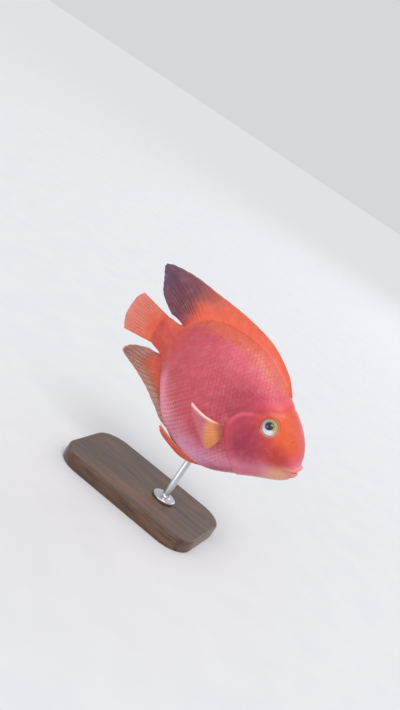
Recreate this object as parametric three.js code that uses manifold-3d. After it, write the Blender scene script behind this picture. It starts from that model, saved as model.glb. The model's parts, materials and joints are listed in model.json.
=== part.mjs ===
// Blood parrot cichlid, a still life-size model on a plain display stand.
// Millimetres, +Z up. The fish faces +X, its right flank looks towards -Y,
// and the origin is the centre of the whole part's box at the foot of the stand.
// Shapes are first worked out in the fish's own frame, then lifted onto the rod.
import * as THREE from "three";
import { mergeVertices } from "three/addons/utils/BufferGeometryUtils.js";
import Module from "manifold-3d";

const wasm = await Module();
wasm.setup();

// Driving dimensions of the fish, in its own frame: lip tip to tail-fin edge
const SNOUT_X = 77.5;
const TAIL_X = -94;
const FISH_Z = 115;
const FISH_X = -(SNOUT_X + TAIL_X) / 2;
const GAP = 0.3;

// Outlines of the body without its fins, [x, z], from the tail stem to the lips
const BACK = [
  [-60, 6.2], [-52, 6.6], [-44.5, 12.5], [-35, 23], [-21, 28.6], [-4, 30], [14, 27.6],
  [30, 21], [42.5, 13.6], [52, 7], [61, 0.8], [68.6, -7], [73, -13.8], [75.3, -20], [75.6, -23],
];
const BELLY = [
  [-60, -18.6], [-53, -20.4], [-46, -28], [-38, -40], [-27, -53.2], [-10, -64], [8, -67.6], [26, -63.6],
  [41, -55.4], [53, -48.4], [62.5, -43.4], [69.6, -39.2], [73.8, -35.6], [75.6, -32.4], [75.6, -30.4],
];
// Half of the body's thickness at each pair of those points
const HALF_WIDTH = [3.4, 5.2, 8.4, 12.6, 17.4, 21.4, 23.4, 23.2, 21.2, 18.6, 15, 11.2, 8, 5.6, 4];
// How far up from the belly towards the back the body is thickest
const THICKEST = [0.5, 0.49, 0.47, 0.45, 0.44, 0.43, 0.43, 0.43, 0.44, 0.46, 0.47, 0.48, 0.49, 0.5, 0.5];
const RIDGE = 1.16;
const KEEL = 0.94;
const BODY_RINGS = 40;
const RING_POINTS = 28;
const GILL_SWELL = 0.9;

// The tail swings gently to the fish's left
const SWAY_FROM = -15;
const SWAY_AT_TIP = 6;

// Gill slit and nape: where the head ends, [x, z] from the nape down to the throat
const HEAD_EDGE = [
  [58, 16], [51, 6], [43, -1], [34, -5.6], [26, -9.6], [21.8, -16],
  [20.6, -24], [24, -31.5], [29.5, -38.5], [37, -47], [47, -60],
];
const TAIL_CUT_X = -46;

// Mouth: its corner and the jaw's hinge line, how far it gapes in front, and its two lips
const MOUTH_CORNER = [68.6, -27.8];
const JAW_HINGE = [59, -48];
const GAPE = { x: 78, half: 1.6 };
const LIP = { reach: 7.3, spread: 6.4, arc: 1.42, upper: 1.55, lower: 1.65 };
const NOSTRIL = { x: 64.5, z: -10.5, radius: 0.95 };

// Eye: where it sits in the side view, its radius across and its half depth, and how far it stands out
const EYE = { x: 45.6, z: -9.2, radius: 6.7, halfDepth: 5, standsOut: 1.5 };
const CORNEA = { radius: 4.4, rise: 0.55 };
const SOCKET_RIM = 0.75;

// Fins
const RAY_HALF = 0.5;
const WEB_HALF = 0.27;
const RIM_HALF = 0.26;

// Stand
const BASE = { length: 116, width: 80, thickness: 10, corner: 20, bevel: 1.2 };
const ROD = { x: 9, radius: 2.6, foot: 9, footHeight: 2.4, chamfer: 0.7, sink: 5.5 };

// Smooth curve through values at whole-number stations
function smooth(values) {
  return (s) => {
    const i = Math.min(Math.max(Math.floor(s), 0), values.length - 2);
    const t = s - i;
    const at = (k) => values[Math.min(Math.max(k, 0), values.length - 1)];
    const slopeIn = (at(i + 1) - at(i - 1)) / 2;
    const slopeOut = (at(i + 2) - at(i)) / 2;
    const rise = at(i + 1) - at(i);
    const square = 3 * rise - 2 * slopeIn - slopeOut;
    const cube = slopeIn + slopeOut - 2 * rise;
    return at(i) + t * (slopeIn + t * (square + t * cube));
  };
}

const path2 = (points) => {
  const x = smooth(points.map((p) => p[0]));
  const z = smooth(points.map((p) => p[1]));
  return (s) => [x(s), z(s)];
};
const back = path2(BACK);
const belly = path2(BELLY);
const halfWidth = smooth(HALF_WIDTH);
const thickest = smooth(THICKEST);
const LAST = BACK.length - 1;

const sway = (x) => {
  const t = Math.max(0, (SWAY_FROM - x) / (SWAY_FROM - TAIL_X));
  return SWAY_AT_TIP * t * t;
};
const ease = (a, b, x) => {
  const t = Math.min(Math.max((x - a) / (b - a), 0), 1);
  return t * t * (3 - 2 * t);
};

// A point of the body's skin: s runs from tail to snout, turn once round from the left side over the back
function skin(s, turn, grow, swell) {
  const [bx, bz] = back(s);
  const [vx, vz] = belly(s);
  const c = thickest(s);
  const mx = vx + c * (bx - vx);
  const mz = vz + c * (bz - vz);
  const up = Math.sin(turn);
  const side = Math.cos(turn);
  const height = Math.hypot(bx - vx, bz - vz) / 2;
  const reach = Math.abs(up) * (1 + grow / height);
  const [tx, tz] = up > 0 ? [bx, bz] : [vx, vz];
  const cover = swell * ease(5.6, 6.6, s) * (1 - ease(8, 9.6, s));
  const plump = (halfWidth(s) + grow) * (1 + cover / halfWidth(s));
  const y = Math.sign(side) * Math.abs(side) ** (up > 0 ? RIDGE : KEEL) * plump;
  const x = mx + (tx - mx) * reach;
  return [x, y + sway(x), mz + (tz - mz) * reach];
}

// Closed solid from rings of points, each ring in the same order, with a centre point at both ends
function loft(rings) {
  const n = rings[0].length;
  const points = rings.flat();
  const triangles = [];
  for (let r = 0; r + 1 < rings.length; r++)
    for (let i = 0; i < n; i++) {
      const j = (i + 1) % n;
      const [a, b, c, d] = [r * n + i, r * n + j, (r + 1) * n + i, (r + 1) * n + j];
      triangles.push(a, c, b, b, c, d);
    }
  for (const [ring, start, flip] of [[rings[0], 0, false], [rings.at(-1), (rings.length - 1) * n, true]]) {
    const middle = points.length;
    points.push([0, 1, 2].map((k) => ring.reduce((sum, p) => sum + p[k], 0) / n));
    for (let i = 0; i < n; i++) {
      const j = (i + 1) % n;
      triangles.push(...(flip ? [start + i, middle, start + j] : [start + i, start + j, middle]));
    }
  }
  return meshOf(points, triangles);
}

function meshOf(points, triangles) {
  const geometry = new THREE.BufferGeometry();
  geometry.setAttribute("position", new THREE.Float32BufferAttribute(points.flat(), 3));
  geometry.setIndex(triangles);
  return geometry;
}

// A three.js geometry as a solid that can be cut and joined, with its faces turned outwards
function solid(geometry) {
  const bare = geometry.clone();
  bare.deleteAttribute("normal");
  bare.deleteAttribute("uv");
  const merged = mergeVertices(bare, 1e-4);
  const triangles = new Uint32Array(merged.index.array);
  if (signedVolume(merged) < 0) triangles.reverse();
  const corners = merged.attributes.position.array;
  return new wasm.Manifold(new wasm.Mesh({ numProp: 3, vertProperties: corners, triVerts: triangles }));
}

// The largest closed piece of a solid, as a geometry
function geometryOf(whole) {
  const pieces = whole.decompose();
  const largest = pieces.reduce((a, b) => (b.volume() > a.volume() ? b : a));
  const mesh = largest.getMesh();
  const geometry = new THREE.BufferGeometry();
  geometry.setAttribute("position", new THREE.BufferAttribute(new Float32Array(mesh.vertProperties), 3));
  geometry.setIndex(new THREE.BufferAttribute(new Uint32Array(mesh.triVerts), 1));
  return geometry;
}

function bodySolid(grow = 0, swell = 0) {
  const rings = [];
  for (let r = 0; r <= BODY_RINGS; r++) {
    const s = (LAST * r) / BODY_RINGS;
    const ring = [];
    for (let i = 0; i < RING_POINTS; i++) {
      const turn = ((i + 0.5) * 2 * Math.PI) / RING_POINTS;
      ring.push(skin(s, turn, grow, swell));
    }
    rings.push(ring);
  }
  return solid(loft(rings));
}

// A flat outline in the side view, as thick as the fish and more
function slab(outline, half = 60) {
  const shape = new THREE.Shape(outline.map(([x, z]) => new THREE.Vector2(x, z)));
  const geometry = new THREE.ExtrudeGeometry(shape, { depth: 2 * half, bevelEnabled: false });
  geometry.rotateX(Math.PI / 2);
  geometry.translate(0, half, 0);
  return solid(geometry);
}

// Head edge as a fine outline, moved along x by half of the slit
function headEdge(shift) {
  const edge = path2(HEAD_EDGE);
  const points = [];
  const steps = 3 * (HEAD_EDGE.length - 1);
  for (let i = 0; i <= steps; i++) {
    const [x, z] = edge((i / steps) * (HEAD_EDGE.length - 1));
    points.push([x + shift, z]);
  }
  return points;
}

const FAR = 200;
const half = GAP / 2;
const ahead = (shift) => slab([...headEdge(shift), [FAR, -FAR], [FAR, FAR], [HEAD_EDGE[0][0] + shift, FAR]]);
const aheadOfGill = ahead(half);
const nearHead = ahead(half - GAP);
const [tailFront, tailBack] = [TAIL_CUT_X + half, TAIL_CUT_X - half];
const behindGill = slab([
  ...headEdge(-half), [HEAD_EDGE.at(-1)[0] - half, -FAR],
  [tailFront, -FAR], [tailFront, FAR], [HEAD_EDGE[0][0] - half, FAR],
]);
const behindTailCut = slab([[-FAR, -FAR], [tailBack, -FAR], [tailBack, FAR], [-FAR, FAR]]);
const [cornerX, cornerZ] = MOUTH_CORNER;
const [hingeX, hingeZ] = JAW_HINGE;

// Everything below the mouth line and ahead of the jaw's hinge line, gap back from both
function belowMouth(gap, gape) {
  const [x, z] = [hingeX + gap, cornerZ + gape];
  return slab([[cornerX + gap, cornerZ - gap], [x, hingeZ], [x, -FAR], [FAR, -FAR], [FAR, z], [GAPE.x, z]]);
}
const jawRoom = belowMouth(0, GAPE.half);
const jawOnly = belowMouth(GAP, -GAPE.half);

// A tube from one corner of the mouth round the front to the other
function lip(level, drop, radius) {
  const points = [];
  for (let i = -4; i <= 4; i++) {
    const a = (i / 4) * LIP.arc;
    const [out, across] = [LIP.reach * Math.cos(a), LIP.spread * Math.sin(a)];
    points.push(new THREE.Vector3(cornerX + out, across, level + drop * Math.cos(a)));
  }
  const section = new THREE.Shape();
  section.absarc(0, 0, radius, 0, 2 * Math.PI);
  const extrudePath = new THREE.CatmullRomCurve3(points);
  const make = { steps: 14, curveSegments: 5, bevelEnabled: false, extrudePath };
  return solid(new THREE.ExtrudeGeometry(section, make));
}

function ball(x, y, z, radius, around = 18, down = 12) {
  const geometry = new THREE.SphereGeometry(radius, around, down);
  geometry.translate(x, y, z);
  return solid(geometry);
}

// The skin's point at a place in the side view, and the way the skin faces there
function nearSkin(x, z) {
  let best = [LAST / 2, 0];
  for (let span = LAST / 2, tilt = 1.5; span > 0.002; span /= 2, tilt /= 2) {
    let least = Infinity;
    const [s0, turn0] = best;
    for (let i = -4; i <= 4; i++)
      for (let j = -4; j <= 4; j++) {
        const [s, turn] = [s0 + (i / 4) * span, turn0 + (j / 4) * tilt];
        const p = skin(s, turn, 0, 0);
        const far = (p[0] - x) ** 2 + (p[2] - z) ** 2;
        if (far < least && Math.abs(turn) < 1.5) [best, least] = [[s, turn], far];
      }
  }
  const [s, turn] = best;
  const at = (ds, dt) => new THREE.Vector3(...skin(s + ds, turn + dt, 0, 0));
  const along = at(0.1, 0).sub(at(-0.1, 0));
  const around = at(0, 0.05).sub(at(0, -0.05));
  return { point: at(0, 0), facing: around.cross(along).normalize() };
}

const eyeSeat = nearSkin(EYE.x, EYE.z);

// Turns a shape that looks along +Y to look out of the head, and puts it at the eye
function setInSocket(geometry, side, deep) {
  const look = eyeSeat.facing.clone();
  const centre = eyeSeat.point.clone().addScaledVector(look, -deep);
  for (const v of [look, centre]) v.y *= side;
  geometry.applyQuaternion(new THREE.Quaternion().setFromUnitVectors(new THREE.Vector3(0, 1, 0), look));
  geometry.translate(centre.x, centre.y, centre.z);
  return geometry;
}

// Eye: a flattened ball with the clear front a little raised
function eyeGeometry(side, grow = 0) {
  const last = 12;
  const profile = [];
  for (let i = 0; i <= last; i++) {
    const a = -Math.PI / 2 + (i / last) * Math.PI;
    const out = i === 0 || i === last ? 0 : (EYE.radius + grow) * Math.cos(a);
    const dome = a > 0 ? CORNEA.rise * ease(CORNEA.radius, CORNEA.radius * 0.6, out) : 0;
    profile.push(new THREE.Vector2(out, (EYE.halfDepth + grow) * Math.sin(a) + dome));
  }
  return setInSocket(new THREE.LatheGeometry(profile, 22), side, EYE.halfDepth - EYE.standsOut);
}

// Fold of skin round the eye, a low ring on the cheek
function socketRim(side) {
  const geometry = new THREE.TorusGeometry(EYE.radius + 0.25, SOCKET_RIM, 6, 24);
  geometry.rotateX(-Math.PI / 2);
  return solid(setInSocket(geometry, side, 0.25));
}

// A fin: rays fan out from root to tip, each a ridge in the web between them.
// place(u, v) is a point of the fin's middle sheet, u across the rays and v out along them.
function fin({ rays, steps, place, normal, rootHalf = 0.9, notch = 0.04 }) {
  const columns = 2 * rays - 1;
  const points = [];
  const sheets = [1, -1].map((face) => {
    const first = points.length;
    for (let i = 0; i < columns; i++)
      for (let j = 0; j <= steps; j++) {
        const onRay = i % 2 === 0;
        const v = (j / steps) * (onRay ? 1 : 1 - notch * (j / steps));
        const tip = onRay ? RAY_HALF : WEB_HALF;
        const thick = j === steps ? RIM_HALF : tip + (rootHalf - tip) * (1 - v) ** 3;
        const p = place(i / (columns - 1), v);
        const n = normal(i / (columns - 1), v);
        points.push(p.map((value, k) => value + face * thick * n[k]));
      }
    return first;
  });
  const triangles = [];
  const rows = steps + 1;
  const quad = (a, b, c, d) => triangles.push(a, b, c, a, c, d);
  for (let i = 0; i + 1 < columns; i++)
    for (let j = 0; j < steps; j++) {
      const [a, b, c, d] = [i * rows + j, (i + 1) * rows + j, (i + 1) * rows + j + 1, i * rows + j + 1];
      const [front, rear] = sheets;
      quad(front + a, front + b, front + c, front + d);
      triangles.push(rear + a, rear + c, rear + b, rear + a, rear + d, rear + c);
    }
  const edge = [];
  for (let i = 0; i < columns; i++) edge.push(i * rows);
  for (let j = 1; j <= steps; j++) edge.push((columns - 1) * rows + j);
  for (let i = columns - 2; i >= 0; i--) edge.push(i * rows + steps);
  for (let j = steps - 1; j > 0; j--) edge.push(j);
  edge.forEach((a, k) => {
    const b = edge[(k + 1) % edge.length];
    quad(sheets[0] + b, sheets[0] + a, sheets[1] + a, sheets[1] + b);
  });
  return solid(meshOf(points, triangles));
}

function signedVolume(geometry) {
  const p = geometry.attributes.position;
  const [a, b, c] = [new THREE.Vector3(), new THREE.Vector3(), new THREE.Vector3()];
  let volume = 0;
  for (let i = 0; i < geometry.index.count; i += 3) {
    a.fromBufferAttribute(p, geometry.index.getX(i));
    b.fromBufferAttribute(p, geometry.index.getX(i + 1));
    c.fromBufferAttribute(p, geometry.index.getX(i + 2));
    volume += a.dot(b.cross(c)) / 6;
  }
  return volume;
}

// Dorsal, anal and tail fins stand in the fish's middle plane, bowed with its tail
function medianFin({ root, rim, bow, ...rest }) {
  const from = path2(root);
  const to = path2(rim);
  const last = root.length - 1;
  const place = (u, v) => {
    const [x0, z0] = from(u * last);
    const [x1, z1] = to(u * last);
    const bend = bow(u) * Math.sin(Math.PI * v);
    const x = x0 + (x1 - x0) * v + (bend * (z1 - z0)) / 20;
    return [x, sway(x), z0 + (z1 - z0) * v - (bend * (x1 - x0)) / 20];
  };
  return fin({ place, normal: () => [0, 1, 0], ...rest });
}

// Roots run well inside the body, rims from front to back; bow bends the soft rays
const DORSAL = {
  root: [
    [44, 7], [37, 11], [24, 18], [6, 23], [-12, 23.5],
    [-27, 20], [-37, 13.5], [-41.5, 9.5], [-44.5, 7.2], [-46, 5.6],
  ],
  rim: [
    [44, 13.4], [33, 24.8], [12, 35.4], [-14.7, 40.2], [-40, 41],
    [-66, 41], [-86.4, 36], [-83, 26.5], [-75.5, 16], [-62.5, 8.4],
  ],
  rays: 28, steps: 5, rootHalf: 1.3, bow: (u) => 1.4 * ease(0.5, 0.8, u),
};
const ANAL = {
  root: [
    [-17, -56], [-22, -52], [-28, -45.5], [-33, -38.5], [-38, -31.5], [-42, -25.5], [-45, -21], [-47, -17],
  ],
  rim: [
    [-19, -61], [-27, -58.8], [-37, -52.6], [-51, -45.4], [-66, -40.4], [-80, -35.8], [-76, -28], [-63.5, -22],
  ],
  rays: 19, steps: 5, rootHalf: 1.2, bow: (u) => -1.4 * ease(0.3, 0.7, u),
};
const CAUDAL = {
  root: [[-56, 4.8], [-56.5, -1], [-56.8, -6], [-56.5, -11], [-56, -16]],
  rim: [[-89.8, 8.4], [-93, 2.6], [-94, -6], [-92.6, -15.4], [-88.8, -22.4]],
  rays: 16, steps: 6, rootHalf: 1.6, notch: 0.03, bow: () => 0,
};

const tools = { body: bodySolid(), head: bodySolid(0, GILL_SWELL) };
tools.clear = bodySolid(GAP).add(bodySolid(GAP, GILL_SWELL).intersect(nearHead));

function head() {
  const upperLip = lip(cornerZ + 1.3, 2.1, LIP.upper);
  let made = tools.head.add(upperLip).intersect(aheadOfGill).subtract(jawRoom);
  const pit = nearSkin(NOSTRIL.x, NOSTRIL.z).point;
  for (const side of [1, -1]) {
    made = made.add(socketRim(side)).subtract(solid(eyeGeometry(side, GAP)));
    made = made.subtract(ball(pit.x, side * pit.y, pit.z, NOSTRIL.radius, 10, 8));
  }
  return made;
}

function lowerJaw() {
  const lowerLip = lip(cornerZ - 0.9, -1.9, LIP.lower);
  return tools.head.add(lowerLip).intersect(jawOnly).intersect(aheadOfGill);
}

// Paired fins fan out from a short base on the flank: from and to are the base's two ends
function pairedFin(side, { base, tips, sag, ...rest }) {
  const last = tips.length - 1;
  const axis = (k) => [smooth(base.map((p) => p[k])), smooth(tips.map((p) => p[k]))];
  const axes = [0, 1, 2].map(axis);
  const place = (u, v) => {
    const p = axes.map(([from, to]) => from(u * last) + (to(u * last) - from(u * last)) * v);
    p[2] -= sag * Math.sin(Math.PI * v);
    p[1] *= side;
    return p;
  };
  const normal = (u, v) => {
    const step = 0.02;
    const [a, b] = [place(Math.max(u - step, 0), v), place(Math.min(u + step, 1), v)];
    const [c, d] = [place(u, Math.max(v - step, 0)), place(u, Math.min(v + step, 1))];
    const across = new THREE.Vector3(...b).sub(new THREE.Vector3(...a));
    const along = new THREE.Vector3(...d).sub(new THREE.Vector3(...c));
    return across.cross(along).normalize().toArray();
  };
  return fin({ place, normal, ...rest });
}

// Bases and tips from the top ray down, [x, y, z] on the left side; sag bends the rays down
const PECTORAL = {
  base: [[22.6, 22.2, -24.6], [22.8, 22.2, -26.6], [23.2, 22.2, -28.6], [24.2, 21.8, -30.6]],
  tips: [[-6, 31, -24], [0, 36.5, -29.5], [12.5, 37, -38], [20.5, 31, -45]],
  sag: 3, rays: 12, steps: 6, rootHalf: 0.8, notch: 0.05,
};
const PELVIC = {
  base: [[24, 9.4, -59.8], [22.6, 8, -60.8], [21.2, 6.8, -61.7], [19.8, 5.6, -62.4]],
  tips: [[-21, 13.2, -56.4], [-20, 11.6, -60.5], [-16.5, 9.4, -63.8], [-11, 7, -66]],
  sag: 4.6, rays: 6, steps: 8, rootHalf: 0.7, notch: 0.06,
};

// Stand: a plate with rounded corners and softened edges, and a rod with a small foot
function standBase() {
  const { length, width, thickness, corner, bevel } = BASE;
  const [a, b] = [length / 2 - bevel, width / 2 - bevel];
  const shape = new THREE.Shape();
  shape.absarc(a - corner, b - corner, corner, 0, Math.PI / 2);
  shape.absarc(corner - a, b - corner, corner, Math.PI / 2, Math.PI);
  shape.absarc(corner - a, corner - b, corner, Math.PI, 1.5 * Math.PI);
  shape.absarc(a - corner, corner - b, corner, 1.5 * Math.PI, 2 * Math.PI);
  const geometry = new THREE.ExtrudeGeometry(shape, {
    depth: thickness - 2 * bevel, bevelThickness: bevel, bevelSize: bevel, bevelSegments: 2, curveSegments: 7,
  });
  geometry.translate(0, 0, bevel);
  return geometry;
}

const rodFoot = BASE.thickness + GAP;
const rodTop = FISH_Z + bellyLevel(ROD.x) + ROD.sink;

function bellyLevel(x) {
  let s = 0;
  while (belly(s)[0] < x) s += 0.01;
  return belly(s)[1];
}

function standRod() {
  const { radius, foot, footHeight, chamfer } = ROD;
  const top = rodTop - rodFoot;
  const profile = [
    [0, 0], [foot, 0], [foot, footHeight / 2], [foot - 2 * chamfer, footHeight],
    [radius + chamfer, footHeight + chamfer], [radius, footHeight + 3 * chamfer],
    [radius, top - chamfer], [radius - chamfer, top], [0, top],
  ];
  const geometry = new THREE.LatheGeometry(profile.map(([r, h]) => new THREE.Vector2(r, h)), 24);
  geometry.rotateX(Math.PI / 2);
  geometry.translate(FISH_X + ROD.x, 0, rodFoot);
  return geometry;
}

// Pocket in the belly for the rod's end
function rodPocket() {
  const height = ROD.sink + 20;
  const geometry = new THREE.CylinderGeometry(ROD.radius + GAP, ROD.radius + GAP, height, 24);
  geometry.rotateX(Math.PI / 2);
  geometry.translate(ROD.x, 0, rodTop - FISH_Z + GAP - height / 2);
  return solid(geometry);
}

const finish = {
  flesh: { color: 0xd8606a, roughness: 0.42, metalness: 0 },
  face: { color: 0xe8683c, roughness: 0.42, metalness: 0 },
  fin: { color: 0xf0824e, roughness: 0.45, metalness: 0 },
  eye: { color: 0xe6e6ee, roughness: 0.12, metalness: 0 },
  wood: { color: 0x4a2f20, roughness: 0.5, metalness: 0 },
  steel: { color: 0xb8babd, roughness: 0.3, metalness: 1 },
};

const fish = new THREE.Group();
fish.position.set(FISH_X, 0, FISH_Z);
const part = new THREE.Group();
part.add(fish);

function add(group, name, geometry, kind) {
  const mesh = new THREE.Mesh(geometry, new THREE.MeshStandardMaterial(finish[kind]));
  mesh.name = name;
  group.add(mesh);
}

const growsFrom = (made) => geometryOf(made.subtract(tools.clear));

add(fish, "head", geometryOf(head()), "face");
add(fish, "lower_jaw", geometryOf(lowerJaw()), "face");
add(fish, "trunk", geometryOf(tools.body.intersect(behindGill).subtract(rodPocket())), "flesh");
add(fish, "tail_stem", geometryOf(tools.body.intersect(behindTailCut)), "flesh");
add(fish, "dorsal_fin", growsFrom(medianFin(DORSAL)), "fin");
add(fish, "anal_fin", growsFrom(medianFin(ANAL)), "fin");
add(fish, "tail_fin", growsFrom(medianFin(CAUDAL)), "fin");
for (const [word, side] of [["left", 1], ["right", -1]]) {
  add(fish, "eye_" + word, eyeGeometry(side), "eye");
  add(fish, "pectoral_fin_" + word, growsFrom(pairedFin(side, PECTORAL)), "fin");
  add(fish, "pelvic_fin_" + word, growsFrom(pairedFin(side, PELVIC)), "fin");
}
add(part, "stand_base", standBase(), "wood");
add(part, "stand_rod", standRod(), "steel");

export default part;
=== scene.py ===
# %% [markdown]
# # A blood parrot cichlid, life-size, on a display stand
#
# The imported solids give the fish's outline, its parts and the stand, in metres, with +Z up and
# the snout towards +X. This file dresses them: one skin over the head and body, scales lying on
# it like roof tiles, fins with fine rays, glassy eyes, and a finished stand. Every new surface
# is a formula of two parameters worked out with numpy, so the numbers say what the shape does.

import json
import math

import bpy
import numpy as np
from mathutils import Matrix, Vector

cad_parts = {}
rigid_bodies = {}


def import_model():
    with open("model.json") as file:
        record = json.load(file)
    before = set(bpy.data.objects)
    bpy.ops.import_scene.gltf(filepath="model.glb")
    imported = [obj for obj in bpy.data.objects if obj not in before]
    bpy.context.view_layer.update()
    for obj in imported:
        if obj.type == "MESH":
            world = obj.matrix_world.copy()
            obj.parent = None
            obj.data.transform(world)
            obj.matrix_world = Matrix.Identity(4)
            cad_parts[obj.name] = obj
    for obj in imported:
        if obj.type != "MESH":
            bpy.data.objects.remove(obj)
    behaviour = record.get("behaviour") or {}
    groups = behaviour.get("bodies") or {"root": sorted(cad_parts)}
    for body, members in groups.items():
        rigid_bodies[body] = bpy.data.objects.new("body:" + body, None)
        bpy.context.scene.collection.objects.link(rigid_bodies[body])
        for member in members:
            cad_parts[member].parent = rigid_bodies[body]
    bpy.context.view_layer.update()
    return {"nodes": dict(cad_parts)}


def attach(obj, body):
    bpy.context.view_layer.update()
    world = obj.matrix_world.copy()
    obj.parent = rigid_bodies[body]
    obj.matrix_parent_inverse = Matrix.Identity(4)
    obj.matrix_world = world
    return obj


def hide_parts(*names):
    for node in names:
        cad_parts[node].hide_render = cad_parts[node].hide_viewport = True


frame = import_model()
print("nodes:", sorted(frame["nodes"]))

# %% [markdown]
# ## The fish's measures
#
# The fish has a frame of its own, in millimetres, that the solids were made in: x runs along the
# body, z up, and the whole fish is then lifted onto its rod. Working in it keeps the numbers the
# size that a ruler would read. The outlines of back and belly are short lists of points, tail
# to lips, and the half thickness belongs to the same stations.

# %% Measures
MM = 0.001
SNOUT_X = 77.5
TAIL_X = -94
FISH_Z = 115
FISH_X = -(SNOUT_X + TAIL_X) / 2

BACK = [
    [-67.5, 4.4], [-60, 6.2], [-52, 6.6], [-44.5, 12.5], [-35, 23], [-21, 28.6], [-4, 30], [14, 27.6],
    [30, 21], [42.5, 13.6], [52, 7], [61, 0.8], [68.6, -7], [73, -13.8], [75.3, -20], [75.6, -23],
]
BELLY = [
    [-67.5, -16.8], [-60, -18.6], [-53, -20.4], [-46, -28], [-38, -40], [-27, -53.2], [-10, -64],
    [8, -67.6], [26, -63.6], [41, -55.4], [53, -48.4], [62.5, -43.4], [69.6, -39.2], [73.8, -35.6],
    [75.6, -32.4], [75.6, -30.4],
]
HALF_WIDTH = [0.2, 3.4, 5.2, 8.4, 12.6, 17.4, 21.4, 23.4, 23.2, 21.2, 18.6, 15, 11.2, 8, 5.6, 4]
THICKEST = [
    0.5, 0.5, 0.49, 0.47, 0.45, 0.44, 0.43, 0.43, 0.43, 0.44, 0.46, 0.47, 0.48, 0.49, 0.5, 0.5,
]
RIDGE_POWER = 1.16
KEEL_POWER = 0.94
THINNEST = 0.05
LAST = len(BACK) - 1
SWAY_FROM = -15
SWAY_AT_TIP = 6

GILL_EDGE = [
    [58, 16], [51, 6], [43, -1], [34, -5.6], [26, -9.6], [21.8, -16],
    [20.6, -24], [24, -31.5], [29.5, -38.5], [37, -47], [47, -60],
]
EYE = [46.2, -8.8]
EYE_RADIUS = 6.3
SCALE_DEPTH = 0.3
SIDES = (("left", 1), ("right", -1))
print("length from lips to tail edge:", SNOUT_X - TAIL_X, "mm")

# %% [markdown]
# ## Curves through a few points
#
# A fish has no straight edges, so every outline is a smooth curve through its points. The cubic
# used here passes through each point, and its slope there is half the step between the
# neighbours. It reads whole arrays, which lets one call give a whole surface.

# %% Smooth curves


def smooth(values):
    """Curve through values at whole-number stations: a cubic on each span, whose slope at a
    station is half the difference of the stations on either side."""
    values = np.asarray(values, float)

    def at(s):
        s = np.asarray(s, float)
        first = np.clip(np.floor(s).astype(int), 0, len(values) - 2)
        t = (s - first)[(...,) + (None,) * (values.ndim - 1)]
        steps = [values[np.clip(first + k, 0, len(values) - 1)] for k in (-1, 0, 1, 2)]
        leave = (steps[2] - steps[0]) / 2
        arrive = (steps[3] - steps[1]) / 2
        rise = steps[2] - steps[1]
        square = 3 * rise - 2 * leave - arrive
        return steps[1] + t * (leave + t * (square + t * (leave + arrive - 2 * rise)))

    return at


def ease(a, b, x):
    """0 below a, 1 above b, and between them three t squared less two t cubed."""
    t = np.clip((np.asarray(x, float) - a) / (b - a), 0, 1)
    return t * t * (3 - 2 * t)


def mix(a, b, share):
    """From a to b by share, along straight lines."""
    return a + (b - a) * share


def sway(x):
    """How far the tail's gentle bow carries the middle plane to the left: it grows with the
    square of the distance behind the belly."""
    t = np.maximum(0, (SWAY_FROM - x) / (SWAY_FROM - TAIL_X))
    return SWAY_AT_TIP * t * t


def bell(distance, width):
    """One at no distance, falling as e to the minus square of the distance in widths."""
    return np.exp(-(distance / width) ** 2)


def unit(vectors):
    """The same directions with length one."""
    return vectors / np.maximum(np.linalg.norm(vectors, axis=-1, keepdims=True), 1e-9)


back = smooth(BACK)
belly = smooth(BELLY)
half_width = smooth(HALF_WIDTH)
thickest = smooth(THICKEST)
fine = np.linspace(0, LAST, 600)
back_line = back(fine)
belly_line = belly(fine)
print("greatest depth of the body:", round(float((back_line - belly_line)[:, 1].max()), 1), "mm")

# %% [markdown]
# ## The body as one surface
#
# A station s runs from tail to lips, and an angle goes once round the body from its left side
# over the back. Each cross-section is an oval that is thickest a little below the middle, with
# a narrow ridge on top. The tail end thins to an edge between the tail fin's two faces.

# %% The body's surface
NUDGE = 0.02
TURN_NUDGE = 0.01
NEWTON_ROUNDS = 40
NEWTON_STEP = 1e-3
MOST_MOVE_S, MOST_MOVE_TURN = 0.5, 0.3
MOST_TURN = 1.5


def body(s, turn):
    """Point of the body: from the middle of the section towards back or belly by the sine of
    turn, and out sideways by its cosine to a power that sharpens the ridge."""
    top, bottom = back(s), belly(s)
    middle = mix(bottom, top, thickest(s)[..., None])
    up, side = np.sin(turn), np.cos(turn)
    flat = middle + (np.where((up > 0)[..., None], top, bottom) - middle) * np.abs(up)[..., None]
    power = np.where(up > 0, RIDGE_POWER, KEEL_POWER)
    y = np.sign(side) * np.abs(side) ** power * np.maximum(half_width(s), THINNEST)
    return np.stack([flat[..., 0], y + sway(flat[..., 0]), flat[..., 1]], -1)


def facing(s, turn):
    """The way the skin faces: across the two directions in which the surface runs."""
    inner = np.clip(s, NUDGE, LAST - NUDGE)
    along = body(inner + NUDGE, turn) - body(inner - NUDGE, turn)
    around = body(inner, turn + TURN_NUDGE) - body(inner, turn - TURN_NUDGE)
    return unit(np.cross(around, along))


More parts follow.
